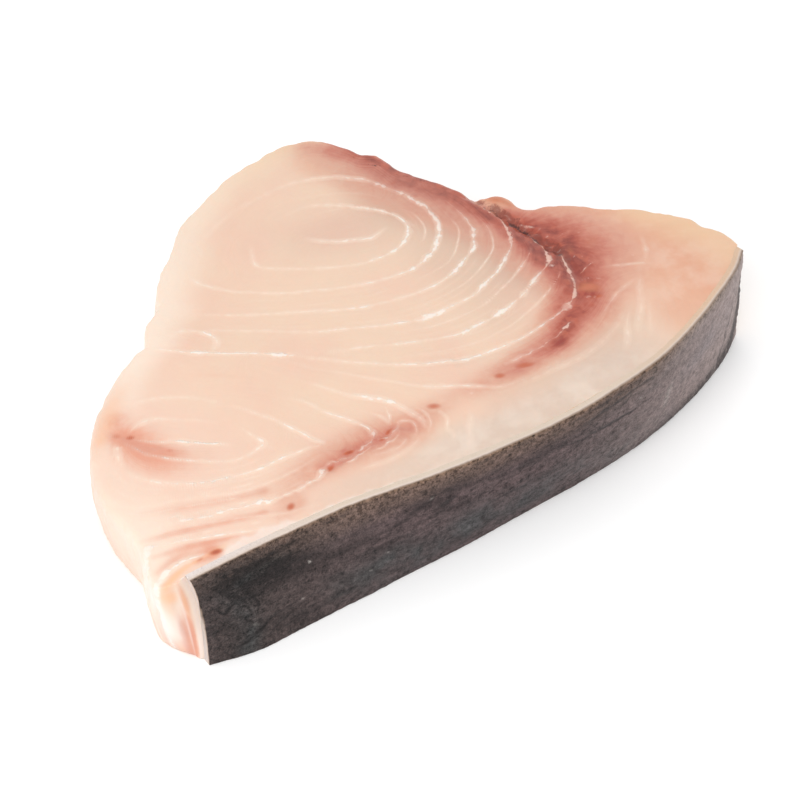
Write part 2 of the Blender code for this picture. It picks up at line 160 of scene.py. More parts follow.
# The white membranes between the muscle rings. The first number says how unevenly the fat lies
# along one, then come x, y, width and strength at each point
membranes = {
    "whorlHeart": (0.3, (
        (18.5, 59.5, 1.2, 0.2), (20.5, 57.3, 1.4, 0.45), (24, 54.3, 1.5, 0.5), (28, 51.9, 1.5, 0.6),
        (31.5, 50, 1.5, 0.65), (34, 50, 1.2, 0.45), (37, 50.4, 1, 0.2))),
    "ring1": (0.5, (
        (6.5, 67.5, 0.8, 0.1), (4.2, 63.5, 1, 0.35), (2.8, 60, 1.1, 0.45), (4.5, 57, 1, 0.4),
        (9.5, 52.2, 0.8, 0.35), (14.5, 48.3, 0.8, 0.35), (20, 45, 0.8, 0.35), (25, 43, 0.8, 0.45),
        (28.3, 42.4, 1.3, 0.8), (30.4, 42, 0.5, 0.35), (32.6, 42, 1.2, 0.8), (35.5, 42.5, 1, 0.6),
        (38, 43.4, 1.3, 0.9), (40.5, 45.4, 1.2, 0.9), (42, 48, 0.9, 0.8), (42.4, 50.8, 1.1, 0.8),
        (41.6, 54, 0.9, 0.5), (39.6, 57.6, 1.1, 0.6), (36.5, 61.5, 1.5, 0.5), (33, 65.2, 1.3, 0.4),
        (29.5, 68, 1, 0.35), (25, 69.8, 0.9, 0.2), (18, 70.4, 0.9, 0.1))),
    "ring1outer": (0.2, (
        (40, 40.2, 0.5, 0.1), (43, 41.8, 0.5, 0.4), (45.2, 44.8, 0.5, 0.4), (46, 48.5, 0.5, 0.3),
        (45.8, 52, 0.5, 0.1))),
    "ring2": (0.6, (
        (-13, 69.5, 0.9, 0.1), (-12.6, 65.5, 1.1, 0.35), (-11.4, 61.8, 1.1, 0.45), (-8, 57, 1, 0.4),
        (-4, 53, 0.8, 0.45), (0, 49.3, 0.8, 0.45), (4, 46, 0.8, 0.45), (8, 43.4, 0.9, 0.45),
        (12, 40.9, 0.8, 0.4), (17.5, 37.8, 0.9, 0.5), (21.5, 36.4, 0.9, 0.5), (25, 35.2, 0.8, 0.5),
        (28.8, 34.2, 1.5, 0.95), (30.6, 34, 0.6, 0.4), (32.3, 33.8, 1.4, 0.95), (35, 34.1, 0.6, 0.5),
        (38.2, 34.9, 1.4, 0.95), (39.8, 35.4, 0.8, 0.6), (41.6, 36.3, 1.5, 1), (44.5, 38.6, 1.4, 1),
        (47, 41.2, 1.5, 1), (48.8, 44.2, 1.5, 1), (49.4, 47.4, 0.9, 0.7), (49.8, 50.4, 1.2, 0.9),
        (49.2, 53.6, 1, 0.7), (48.7, 57, 1.5, 0.95), (47.4, 60.6, 0.8, 0.5), (46.5, 63.6, 1.2, 0.7),
        (45, 66.8, 1.1, 0.6), (43, 70.2, 1.5, 0.5), (40.4, 73.2, 1.3, 0.45), (36.8, 75.6, 1.5, 0.45),
        (33, 77.8, 1.4, 0.4), (28.5, 79.4, 1, 0.3), (20, 80.2, 1, 0.25), (11, 80, 1.2, 0.22),
        (3, 78.4, 1, 0.2), (-4.5, 75.6, 0.9, 0.2))),
    "ring3": (0.5, (
        (-21, 56.5, 0.8, 0.1), (-17.2, 53.2, 0.8, 0.25), (-13, 49.8, 0.8, 0.4), (-9, 46.8, 0.8, 0.4),
        (-4.5, 43.6, 0.8, 0.4), (0, 40.3, 1, 0.4), (4.5, 37.1, 0.9, 0.4), (9, 33.8, 0.9, 0.45),
        (13, 31.4, 1.1, 0.6), (18, 29.3, 0.7, 0.35), (22, 27.9, 0.9, 0.4), (26, 26.8, 0.8, 0.35),
        (28.8, 26.2, 1.3, 0.7), (31.5, 25.8, 1.3, 0.8), (36, 25.7, 0.8, 0.5), (39.6, 26.2, 1.3, 0.95),
        (41.4, 26.8, 0.9, 0.7), (43.2, 27.4, 1.3, 0.95), (46.6, 28.8, 0.7, 0.7), (49.4, 30.3, 1.4, 1),
        (51.2, 32.4, 0.8, 0.8), (53.5, 34.8, 1.5, 1), (54.4, 37.8, 0.8, 0.8), (55.1, 41, 0.9, 0.7),
        (55.4, 45, 0.6, 0.35), (55.4, 50, 0.5, 0.15))),
    "ring3outer": (0.3, (
        (30, 30.2, 0.5, 0.1), (38, 29.8, 0.5, 0.3), (43.5, 31.2, 0.5, 0.4), (47.5, 34.2, 0.5, 0.45),
        (50.8, 37.8, 0.5, 0.4), (52, 42, 0.5, 0.2))),
    "ring4": (0.5, (
        (-22, 50, 0.7, 0.1), (-18, 46.6, 0.7, 0.3), (-13, 42.4, 0.8, 0.35), (-9, 38.9, 0.8, 0.35),
        (-5, 35.4, 0.8, 0.35), (-1, 32, 0.8, 0.4), (3.5, 28.9, 1.2, 0.55), (8, 26, 0.8, 0.5),
        (11, 24.1, 1, 0.6), (13, 22.9, 0.7, 0.4), (15, 21.9, 1.2, 0.7), (18.5, 19.9, 1, 0.65),
        (20, 19.3, 0.7, 0.4), (22.5, 18.4, 1.7, 0.8), (26.5, 17.8, 1.8, 0.8), (31, 17.2, 1.4, 0.75),
        (35, 16.9, 1, 0.6), (38.8, 17, 0.9, 0.6), (41.5, 17.6, 1.2, 0.8), (46, 18.9, 0.8, 0.75),
        (50, 20.3, 1, 0.85), (53.2, 22, 1.1, 0.95), (56.4, 24.2, 0.9, 0.9), (58.8, 26.4, 1.6, 1),
        (60.4, 29.6, 1, 0.85), (61.7, 34, 0.9, 0.8), (61.6, 38, 0.9, 0.8), (61.6, 43, 0.8, 0.7),
        (60.2, 48.4, 0.6, 0.4), (57.8, 55, 0.5, 0.2))),
    "ring4outer": (0.3, (
        (20, 23.8, 0.6, 0.1), (27, 22, 0.6, 0.25), (35, 21.2, 0.5, 0.25), (42, 22, 0.5, 0.35),
        (48, 24, 0.5, 0.45), (52.4, 26.4, 0.5, 0.5), (55.4, 30, 0.5, 0.5), (57.2, 34, 0.5, 0.4),
        (58, 39, 0.5, 0.15))),
    "ring5inner": (0.4, (
        (14, 18.6, 0.6, 0.1), (22, 15.2, 0.6, 0.25), (30, 13.2, 0.6, 0.35), (38, 12.6, 0.6, 0.3),
        (44, 13.6, 0.6, 0.35), (50, 15.3, 0.6, 0.45), (54.4, 17, 0.8, 0.6), (57.6, 18.5, 0.6, 0.5),
        (60.4, 20.6, 0.6, 0.3))),
    "ring5": (0.6, (
        (-8, 29.2, 0.7, 0.1), (-3, 24.6, 0.7, 0.25), (2, 21.2, 0.9, 0.4), (6, 18.8, 0.8, 0.35),
        (10, 16.2, 0.7, 0.35), (14.2, 13.6, 1.1, 0.55), (17, 12.2, 0.9, 0.5), (20, 10.9, 0.8, 0.4),
        (23.6, 9.5, 1.2, 0.7), (26.5, 8.6, 1.2, 0.7), (29.5, 8.1, 1.4, 0.8), (33.4, 7.8, 1.2, 0.75),
        (35.6, 7.6, 0.5, 0.4), (38.5, 7.8, 1.5, 0.95), (42.5, 8.1, 1.2, 0.9), (45.5, 8.6, 0.6, 0.5),
        (48, 9.1, 1.4, 0.95), (50, 9.7, 0.6, 0.6), (52.6, 10.6, 1.1, 0.9), (55.6, 11.9, 1.1, 0.9),
        (57.6, 12.4, 0.7, 0.7), (60.4, 13.7, 1.5, 1), (62, 16.4, 0.9, 0.85), (63.1, 19.4, 0.7, 0.7),
        (63.3, 22.6, 0.6, 0.6), (62.9, 25.6, 0.5, 0.3))),
    "ring6inner": (0.3, (
        (6, 13, 0.6, 0.1), (14, 8.4, 0.6, 0.2), (22, 5, 0.6, 0.25), (30, 3, 0.6, 0.3), (38, 2.8, 0.6, 0.3),
        (45, 3.8, 0.6, 0.4), (51, 5, 0.6, 0.45), (56, 6.8, 0.5, 0.45), (60, 9.2, 0.5, 0.3))),
    "ring6": (0.35, (
        (-36.5, 53.2, 0.8, 0.2), (-33.5, 49.8, 1, 0.5), (-30.5, 46.8, 0.9, 0.6), (-28, 44, 1.5, 0.8),
        (-25, 41.4, 1.1, 0.65), (-22, 38.9, 1, 0.6), (-19, 36.5, 1, 0.6), (-16, 34, 1.1, 0.6),
        (-13.6, 31.6, 1.3, 0.8), (-11.4, 29.8, 1.3, 0.85), (-9, 27.2, 0.8, 0.35), (-6.6, 24.2, 1, 0.4),
        (-3, 20, 0.9, 0.4), (0.5, 16.2, 0.8, 0.4), (4, 12.2, 0.9, 0.45), (8, 8.6, 1, 0.55),
        (12, 5.6, 1.1, 0.65), (16, 3.6, 1.2, 0.75), (20, 1.6, 1.5, 0.9), (23, 0.4, 1.4, 0.9),
        (27, -0.6, 1, 0.75), (31, -1.4, 1.2, 0.75), (36, -2.1, 0.8, 0.65), (41, -2.2, 0.8, 0.7),
        (46, -1.9, 0.8, 0.75), (50, -1.7, 0.9, 0.75), (53, -1.3, 2.4, 0.85), (55.4, -0.4, 1.2, 0.75),
        (57.6, 0.8, 1.1, 0.8), (60, 3.6, 1.3, 0.9), (61.4, 6.4, 1.2, 0.9), (63.2, 10.4, 1, 0.8),
        (64.7, 14.4, 0.7, 0.4))),
    "ring7": (0.3, (
        (-18, 34, 0.6, 0.1), (-13, 28, 0.7, 0.2), (-9, 21.5, 0.7, 0.2), (-5, 16, 0.7, 0.25),
        (-1, 10.4, 0.8, 0.3), (2.6, 5.8, 0.8, 0.35), (6, 1.2, 0.9, 0.4), (9, -1.8, 1.1, 0.5),
        (12.4, -4.4, 1, 0.5), (15.4, -6.8, 1, 0.5), (18.6, -9.6, 0.9, 0.35), (22, -12.4, 1, 0.3),
        (28, -13.8, 1.2, 0.2), (38, -14.6, 1.2, 0.15))),
    "underMain": (0.8, (
        (28, -6.8, 0.7, 0.2), (33.5, -7.7, 0.9, 0.6), (38, -8, 0.9, 0.5), (43, -7.6, 0.8, 0.45),
        (48, -6.6, 0.9, 0.7), (50.4, -6.2, 0.7, 0.4))),
    "chevron1": (0.3, (
        (-34, 26.5, 0.6, 0.1), (-31, 21.6, 0.7, 0.3), (-28.8, 17.2, 1, 0.45), (-27.3, 14.3, 0.9, 0.55),
        (-26.6, 11.6, 0.9, 0.5), (-25.9, 8.8, 1.3, 0.65), (-24.9, 5.8, 1.5, 0.75), (-24.4, 3, 1.2, 0.7),
        (-23.4, 0.8, 0.9, 0.5))),
    "chevron2": (0.3, (
        (-20.8, 18.6, 0.6, 0.1), (-18.6, 15, 0.8, 0.35), (-17.2, 11.4, 0.9, 0.4), (-16.4, 8.6, 1, 0.5),
        (-15, 5.6, 1, 0.6), (-13.4, 2.4, 1.1, 0.65), (-12.2, -0.4, 0.8, 0.6), (-11.8, -2.6, 0.9, 0.6),
        (-12.8, -4.4, 0.7, 0.4))),
    "chevron3": (0.3, (
        (-15, 21.5, 0.7, 0.1), (-12.4, 17.2, 0.8, 0.3), (-10, 12.4, 0.9, 0.4), (-8.2, 8.8, 1, 0.5),
        (-5.8, 6.2, 1.8, 0.75), (-3.6, 3.6, 1.9, 0.8), (-2.2, 1.2, 1.6, 0.8), (-1.4, -1.6, 1.3, 0.65),
        (-0.5, -4.8, 1.5, 0.6), (-0.2, -7.8, 1.2, 0.55), (-1, -10.6, 0.8, 0.3))),
    "chevron4": (0.2, ((-8, 1.2, 0.6, 0.2), (-6.9, -1.4, 0.8, 0.45), (-6.5, -4.2, 0.7, 0.35))),
    "seamCrest": (1, (
        (-34, -7.5, 0.8, 0.5), (-31.5, -7.3, 1, 0.7), (-29.4, -6.6, 1.9, 0.9), (-27.6, -5.4, 0.9, 0.7),
        (-25, -5.7, 0.7, 0.6), (-22, -6.3, 0.7, 0.7), (-19, -6.3, 0.7, 0.6), (-16, -6.1, 0.8, 0.7),
        (-13, -5.6, 0.9, 0.7), (-11.9, -4, 1.3, 0.8))),
    "seamTail": (1, (
        (-12, -6.2, 0.7, 0.5), (-9.6, -7, 1, 0.7), (-7.4, -7, 1.2, 0.9), (-5.6, -5.9, 1.1, 0.95),
        (-4.6, -5.2, 0.9, 0.6))),
    "seamHair1": (1, (
        (-24, -7.6, 0.5, 0.2), (-20.4, -7.9, 0.5, 0.5), (-17, -7.6, 0.5, 0.5), (-14, -7.9, 0.5, 0.2))),
    "seamHair2": (1, (
        (-15.6, -8.8, 0.5, 0.2), (-12.4, -9, 0.5, 0.45), (-9.4, -8.8, 0.5, 0.45), (-6.4, -8, 0.5, 0.2))),
    "seamHair3": (0.8, (
        (-8, -4.4, 0.5, 0.1), (-6, -3, 0.5, 0.4), (-4.6, -1.2, 0.5, 0.4), (-4, 1, 0.5, 0.1))),
    "seamArc1": (0.4, (
        (-5.6, -4.6, 0.5, 0.1), (-3.2, -5.8, 0.6, 0.4), (-2.4, -7.8, 0.6, 0.45), (-3.6, -10.4, 0.6, 0.3),
        (-6.4, -12, 0.6, 0.1))),
    "seamArc2": (0.4, (
        (1.4, -4.2, 0.6, 0.15), (2, -7, 0.7, 0.4), (1, -10.4, 0.7, 0.4), (-2, -13, 0.7, 0.15))),
    "lobeHeart": (0.4, (
        (-57, 30.4, 0.7, 0.3), (-54.6, 27.6, 0.8, 0.55), (-52, 25.6, 0.9, 0.65), (-49.6, 24, 1.1, 0.75),
        (-47, 21, 1, 0.75), (-44.4, 18, 0.9, 0.75), (-42, 15.8, 0.8, 0.6), (-40, 13.4, 0.6, 0.15))),
    "lobeTop": (0.3, (
        (-51.5, 41, 1.2, 0.1), (-47.3, 39.3, 1.2, 0.4), (-43, 37, 0.9, 0.4), (-38.3, 33.2, 0.9, 0.35),
        (-34.6, 28, 0.8, 0.4))),
    "lobeHeartTop": (0.4, (
        (-57, 32.8, 0.6, 0.1), (-54, 33.6, 0.9, 0.4), (-51, 33.6, 1.6, 0.55), (-48, 32.2, 1.2, 0.5),
        (-45, 29, 0.8, 0.3), (-41.5, 25.6, 0.8, 0.35), (-38, 21.6, 0.7, 0.1))),
    "lobe2": (0.4, (
        (-59.4, 30.4, 0.7, 0.3), (-58.6, 27, 0.9, 0.65), (-58, 24.6, 0.9, 0.65), (-56, 21.6, 0.9, 0.6),
        (-53.4, 18.4, 0.9, 0.6), (-50, 15, 0.9, 0.5), (-46.6, 12, 0.8, 0.5), (-43.2, 9.6, 0.8, 0.5),
        (-39.6, 8.8, 0.9, 0.5), (-36.4, 9, 1.2, 0.6), (-34.2, 9.6, 1.8, 0.75), (-34.4, 12.4, 0.9, 0.5),
        (-34.9, 15.6, 0.7, 0.35), (-35.8, 19, 0.6, 0.1))),
    "lobe3": (0.5, (
        (-61, 31.6, 1.2, 0.2), (-62.8, 29, 2, 0.5), (-64.4, 26, 1.2, 0.3), (-64.9, 22.6, 0.9, 0.25),
        (-64, 18.8, 1, 0.35), (-61.8, 15.6, 1.3, 0.55), (-58.6, 12.4, 1.3, 0.6), (-55, 9.8, 1.2, 0.65),
        (-51.4, 7.6, 1.1, 0.7), (-48, 6.4, 1.5, 0.8), (-45, 4.9, 1.2, 0.75), (-42, 3.8, 1.3, 0.8),
        (-39, 3, 1.4, 0.8), (-36, 2.8, 1.2, 0.7), (-33, 2.4, 1.5, 0.8), (-30, 1.8, 1, 0.55),
        (-27, 1.6, 0.8, 0.35), (-24.6, 0.4, 0.8, 0.3))),
    "lobe4": (0.3, (
        (-73.4, 22, 1.6, 0.2), (-73, 17, 1.8, 0.4), (-71.6, 13.2, 1.4, 0.4), (-68, 10.6, 1, 0.35),
        (-63, 8.4, 0.9, 0.35), (-58, 5.9, 0.9, 0.35), (-53, 3.2, 0.9, 0.4), (-48.6, 0.8, 0.9, 0.4),
        (-44, -0.8, 0.9, 0.35), (-38, -2, 0.8, 0.3), (-32, -2.4, 0.7, 0.25), (-26, -2.2, 0.7, 0.15))),
    "lobe5": (0.8, (
        (-76, 6.6, 0.8, 0.15), (-71, 4.6, 0.9, 0.35), (-66, 2.4, 1, 0.45), (-61, 0.2, 1, 0.5),
        (-56.5, -1.6, 1.1, 0.55), (-53, -2.8, 1.3, 0.65), (-50, -4, 0.9, 0.6), (-47, -5, 1.5, 0.85),
        (-44.4, -6.5, 1.3, 0.85), (-42, -6.9, 0.9, 0.6), (-39.8, -7.4, 1.4, 0.85),
        (-36.6, -7.8, 0.8, 0.55), (-34.6, -7.4, 1, 0.7))),
    "lobe6": (0.3, (
        (-76.5, -0.6, 1.2, 0.3), (-73, -1.8, 1, 0.4), (-69, -3, 1.1, 0.55), (-65, -4.8, 1.1, 0.6),
        (-61, -6.8, 1.2, 0.65), (-57.6, -8.6, 1.2, 0.6), (-54, -10.4, 1.1, 0.45), (-50, -12.4, 1, 0.3))),
    "lobe6lower": (0.3, (
        (-66, 0.6, 0.7, 0.15), (-60, -2.4, 0.8, 0.35), (-54, -5.6, 0.8, 0.35), (-48, -9, 0.8, 0.35),
        (-43, -12, 0.8, 0.25), (-36, -14.4, 0.8, 0.1))),
    "tipHook": (0.5, (
        (-81, -8.6, 1.6, 0.6), (-79.4, -5.6, 1.6, 0.7), (-77.6, -2.4, 2.4, 0.9), (-75.8, -0.4, 3.4, 1),
        (-74.2, -0.6, 2.4, 0.9), (-72.6, -1.2, 1.4, 0.5))),
    "tipBand": (0.7, (
        (-81.4, -11.4, 3.4, 1), (-79.4, -10.2, 2.8, 1), (-76, -8.9, 2, 0.95), (-73, -8.5, 1.5, 0.9),
        (-70, -8.9, 1.2, 0.7), (-66.6, -9.8, 0.8, 0.3))),
    "backLoop": (0.4, (
        (-33.6, 51.6, 1.2, 0.35), (-30.6, 52.6, 1, 0.25), (-27.4, 53.2, 1.4, 0.4), (-24.4, 51.4, 1, 0.4),
        (-22.4, 48.8, 1.2, 0.6), (-21.4, 46, 1.3, 0.6), (-22.4, 43.6, 1.6, 0.5), (-25, 42.2, 1, 0.3))),
    "rightCross": (0.4, (
        (70, 4.4, 0.7, 0.1), (73.6, 1.6, 0.8, 0.35), (77.2, -0.6, 0.7, 0.35), (79.8, -2.6, 0.8, 0.1))),
    "rightCross2": (0.4, (
        (79, -1.6, 0.8, 0.1), (82, 1.2, 0.9, 0.3), (84, 4.2, 0.9, 0.25), (86, 7.6, 0.8, 0.05))),
    "rightCross3": (0.3, (
        (75, -4.6, 1.2, 0.1), (72, -7.4, 1.4, 0.25), (67.6, -12.6, 1.6, 0.3), (62.4, -17.2, 1.6, 0.25),
        (58, -22, 1.2, 0.05))),
    "rightThread": (0.3, ((63.8, 5.7, 0.45, 0.2), (66.2, 6.4, 0.45, 0.6), (68.7, 6.6, 0.4, 0.5))),
    "rightThread2": (0.3, (
        (61.6, 3.9, 0.6, 0.3), (63, 3.5, 0.7, 0.55), (64.6, 2.7, 0.6, 0.5), (66.4, 0.6, 0.5, 0.2))),
    "skinCross1": (0.2, (
        (4.8, -9.3, 0.8, 0.35), (4.6, -12, 0.8, 0.4), (2.4, -14.6, 0.9, 0.4), (2.6, -17, 1.2, 0.3),
        (0.2, -19.6, 0.9, 0.05))),
    "skinCross2": (0.2, (
        (10.8, -12.8, 0.8, 0.1), (9.2, -15.6, 1.1, 0.3), (6.4, -18.4, 1.2, 0.3), (3.1, -22.2, 1.3, 0.2),
        (1, -24, 1.2, 0.05))),
    "skinCross3": (0.2, (
        (64.5, -11.5, 0.8, 0.1), (60.4, -15.4, 1.1, 0.35), (57, -19, 1.8, 0.4), (54, -21.4, 1.2, 0.2))),
    "skinCross4": (0.2, ((70, -13, 0.8, 0.1), (66, -17.4, 0.9, 0.25), (62.4, -22, 0.8, 0.1))),
    "skinArc1": (0.3, ((-16, -10.6, 0.9, 0.15), (-10.5, -11.8, 1.1, 0.3), (-7, -10.8, 0.9, 0.25))),
    "skinArc2": (0.3, (
        (-21, -12, 1, 0.2), (-14, -13.6, 1.2, 0.35), (-8, -13.6, 1.2, 0.3), (-3, -12.4, 1, 0.15))),
    "skinArc3": (0.3, (
        (20, -13.4, 1.2, 0.1), (34, -15.6, 1.8, 0.25), (46, -16.8, 1.8, 0.25), (58, -14.4, 1.4, 0.2),
        (66, -9.6, 1.2, 0.1))),
    "skinArc4": (0.3, (
        (56, -9.8, 0.8, 0.1), (62, -7, 0.9, 0.3), (68, -5.2, 0.9, 0.3), (74, -4.6, 0.8, 0.1))),
}

# Faint membranes halfway between two of the named ones: first, second, share, strength
betweens = (
    ("ring2", "ring3", 0.35, 0.16), ("ring2", "ring3", 0.7, 0.16), ("ring3", "ring4", 0.3, 0.14),
    ("ring3", "ring4", 0.72, 0.16), ("ring4", "ring5", 0.3, 0.16), ("ring4", "ring5", 0.75, 0.16),
    ("ring5", "ring6", 0.3, 0.16), ("ring5", "ring6", 0.75, 0.16), ("ring1", "ring2", 0.5, 0.12),
    ("lobe2", "lobe3", 0.5, 0.2), ("lobe3", "lobe4", 0.35, 0.26), ("lobe3", "lobe4", 0.7, 0.34),
    ("lobe4", "lobe5", 0.35, 0.42), ("lobe4", "lobe5", 0.72, 0.46),
    ("lobe5", "lobe6", 0.75, 0.36),
)

# Blood in the flesh, as strokes that add up: x, y, half width, strength
bloodStrokes = {
    "upperHalo": (
        (34, 91.5, 4, 0.03), (39, 86, 6, 0.14), (42, 78, 7.6, 0.2), (44, 70, 7.6, 0.24),
        (46.5, 62, 7.6, 0.28), (49, 55, 7.6, 0.32), (52, 47, 7.6, 0.36), (54, 40, 7.4, 0.34),
        (55, 33, 7, 0.32), (55.5, 26, 6.6, 0.3), (55.5, 19, 6.4, 0.28), (56, 12, 6, 0.26),
        (54, 5, 5, 0.16)),
    "upperBand": (
        (41, 88.5, 2.6, 0.14), (45.6, 82.5, 3.2, 0.42), (48.6, 76, 3.6, 0.5), (50.2, 69.5, 4, 0.62),
        (51.8, 62.5, 4.2, 0.7), (55, 56, 3.8, 0.68), (57.6, 50, 3.6, 0.8), (58.8, 44, 3.4, 0.84),
        (59.8, 38, 3.2, 0.86), (60.4, 33, 2.6, 0.75), (60.2, 28.6, 2.4, 0.5)),
    "darkRim": (
        (46.5, 87, 0.9, 0.3), (49, 81, 1.1, 0.5), (50.4, 76, 1.2, 0.6), (52.2, 70, 1.3, 0.66),
        (54, 64, 1.3, 0.7), (56.4, 58.4, 1.2, 0.7), (59.6, 52, 1.1, 0.65), (61.6, 46.5, 1, 0.6)),
    "rightMass": (
        (64.5, 35, 2.6, 0.55), (65.4, 29, 4.4, 0.75), (67, 23, 6, 0.88), (68, 17, 6.6, 0.86),
        (67, 11, 6.2, 0.8), (64.5, 5.6, 5.2, 0.65), (61, 1, 4, 0.5)),
    "rightCore": ((62.6, 20, 1.6, 0.3), (63.8, 15, 2.2, 0.6), (63.8, 10, 2.2, 0.6), (63, 6, 1.6, 0.3)),
    "rightHalo": (
        (70, 28, 7, 0.25), (72, 20, 9.5, 0.34), (71.5, 10, 10, 0.36), (68, 3, 9, 0.32),
        (61, -4, 7.4, 0.38), (54, -6, 7.4, 0.42), (46, -7.5, 7, 0.4), (38, -8.6, 6, 0.36),
        (30, -9.4, 5.4, 0.34), (22, -9, 4.8, 0.24), (12, -8, 4.4, 0.14), (0, -8, 4.6, 0.1)),
    "rightPink": ((75, 24, 6, 0.04), (79, 14, 8, 0.13), (79, 4, 8, 0.12), (75, -5, 7, 0.05)),
    "innerRight": (
        (61, 25.5, 3, 0.85), (60.7, 20, 3.9, 0.84), (60.7, 14, 4, 0.8), (60.4, 9, 4, 0.76),
        (57.6, 4, 3.8, 0.62), (53, 1.2, 3.2, 0.4), (47, -1, 2.8, 0.2)),
    "lowerCore": (
        (60.6, 0, 3.4, 0.62), (56, -3.4, 3.6, 0.68), (51.4, -5, 3, 0.8), (46.5, -7.4, 2.8, 0.8),
        (42.4, -9.4, 2.6, 0.74), (36, -9.4, 2.1, 0.18), (30, -10, 2.2, 0.18), (24, -9, 1.9, 0.06)),
    "seamHalo": (
        (-42, -4.6, 4, 0.1), (-33, -4.8, 5.2, 0.2), (-22, -5.2, 6, 0.28), (-12, -6.4, 6.6, 0.32),
        (-5, -8.4, 6, 0.3), (1, -8.6, 5, 0.16)),
    "seamCore": (
        (-28.6, -6.4, 1.5, 0.14), (-24, -6.4, 1.8, 0.26), (-19, -5.8, 1.8, 0.36), (-14, -6.2, 1.6, 0.2),
        (-10.4, -6.8, 1.7, 0.3), (-7.4, -6.4, 1.6, 0.26), (-4.4, -8.4, 1.6, 0.12)),
    "lobeHalo": (
        (-57, 36, 5, 0.14), (-57.6, 30, 6.2, 0.27), (-57.2, 23.6, 6.4, 0.27), (-54, 18.6, 5.6, 0.2),
        (-48, 15.4, 4.6, 0.08)),
    "lobeCore": (
        (-60, 34, 2.2, 0.14), (-58.4, 31.4, 2.4, 0.28), (-57.6, 27.4, 2.4, 0.26), (-54.6, 23, 2.2, 0.2),
        (-51, 20.4, 1.6, 0.08)),
    "tipBand": ((-78, -7.8, 1.4, 0.1), (-73, -7, 1.6, 0.16), (-67, -8, 1.7, 0.12), (-60, -9.6, 1.6, 0.06)),
    "lobeLayer1": (
        (-70, 9.4, 1, 0.06), (-62, 5.2, 1.2, 0.14), (-53, 1, 1.2, 0.16), (-44, -2.6, 1.4, 0.16)),
    "lobeLayer2": (
        (-75, 2.4, 0.9, 0.06), (-68, -0.2, 1.1, 0.18), (-58, -4, 1.2, 0.2), (-48, -8.2, 1.3, 0.18)),
    "lobeLayer3": (
        (-76, -3.2, 0.9, 0.1), (-68, -5.6, 1.1, 0.18), (-60, -8.6, 1, 0.16), (-53, -11.6, 0.9, 0.08)),
    "lobeEdge": ((-60, 38, 2.6, 0.04), (-57, 38.6, 2.6, 0.1), (-53, 39.4, 2.6, 0.04)),
    "spotHalo": ((-44, -10.8, 3.6, 0.16), (-41, -10.4, 3.6, 0.2)),
    "tipSpotHalo": ((-69, -10.4, 1.4, 0.2), (-64.6, -10.6, 2.2, 0.34)),
}

# Small dark spots: x, y, long and short half axes, turn in degrees, strength
bloodSpots = (
    (4.8, -6.9, 2, 1.2, -35, 0.55), (24, -9.1, 1.7, 1.1, -30, 0.55), (31.2, -10.1, 2.9, 1.2, -26, 0.55),
    (43.2, -9.6, 2.4, 0.7, 8, 0.72), (-42, -10.8, 1.5, 1.1, 30, 0.6), (-63.9, -10.9, 1.9, 1, -14, 0.72),
    (-68.2, -10.5, 1.2, 0.6, 0, 0.45), (-46.4, -11.9, 0.7, 0.5, 0, 0.25),
    (-57.2, 31.6, 1.3, 0.9, -30, 0.62), (-59.6, 34, 1.5, 1.1, -40, 0.4), (-52.6, 22, 1.3, 0.9, -40, 0.35),
    (60.6, -2.3, 1.5, 0.9, 35, 0.7), (-20.2, -5.6, 1.9, 0.55, -10, 0.75),
    (-27.1, -6.9, 1.3, 0.8, 10, 0.65), (-11, -6.9, 1.4, 0.7, 15, 0.65), (-8.3, -6, 1.5, 0.6, 12, 0.7),
    (-24.3, -6.3, 0.9, 0.5, -20, 0.5), (-17.4, -7.2, 2.2, 0.6, -8, 0.35), (71.4, 17, 1.4, 0.8, 40, 0.4),
    (66.2, 22, 1, 0.7, 0, 0.3), (50.6, -4.2, 2.4, 0.9, -12, 0.5), (0.4, 83.9, 0.9, 0.5, -50, 0.12),
    (59.4, 22.4, 1.8, 2.4, 0, 0.35), (58.9, 0.6, 2.4, 1, -58, 0.7), (60.9, -3, 2, 0.7, -30, 0.75),
    (63.4, 7, 1.5, 0.6, 70, 0.4), (64.8, 1.2, 1.3, 0.7, -40, 0.4),
)

# A greyer, darker tone laid over the muscle: near the dark edge, and faintly in the heart of the rings
greyingStrokes = {
    "darkEdge": (
        (40, 88, 3, 0.1), (43.6, 80, 4.6, 0.4), (46.4, 71, 6.2, 0.7), (48.6, 62, 7.4, 0.9),
        (50.8, 54, 8, 0.95), (52.4, 46, 6.8, 0.85), (52.6, 38, 6.6, 0.8), (53, 30, 6.4, 0.72),
        (53, 22, 6.6, 0.7), (53, 14, 6.6, 0.62), (53, 8, 5.6, 0.4)),
    "rings": (
        (42, 60, 7, 0.16), (44, 48, 8, 0.26), (43, 36, 9, 0.3), (42, 26, 9, 0.3), (42, 16, 9, 0.28),
        (40, 7, 7, 0.2)),
    "heart": ((18, 61, 9, 0.14), (28, 57, 10, 0.2), (38, 55, 9, 0.2), (46, 54, 7, 0.12)),
    "below": (
        (20, -14, 5, 0.16), (32, -15, 6, 0.28), (44, -15.4, 5.4, 0.3), (54, -15, 5, 0.32),
        (62, -14, 4, 0.2)),
}

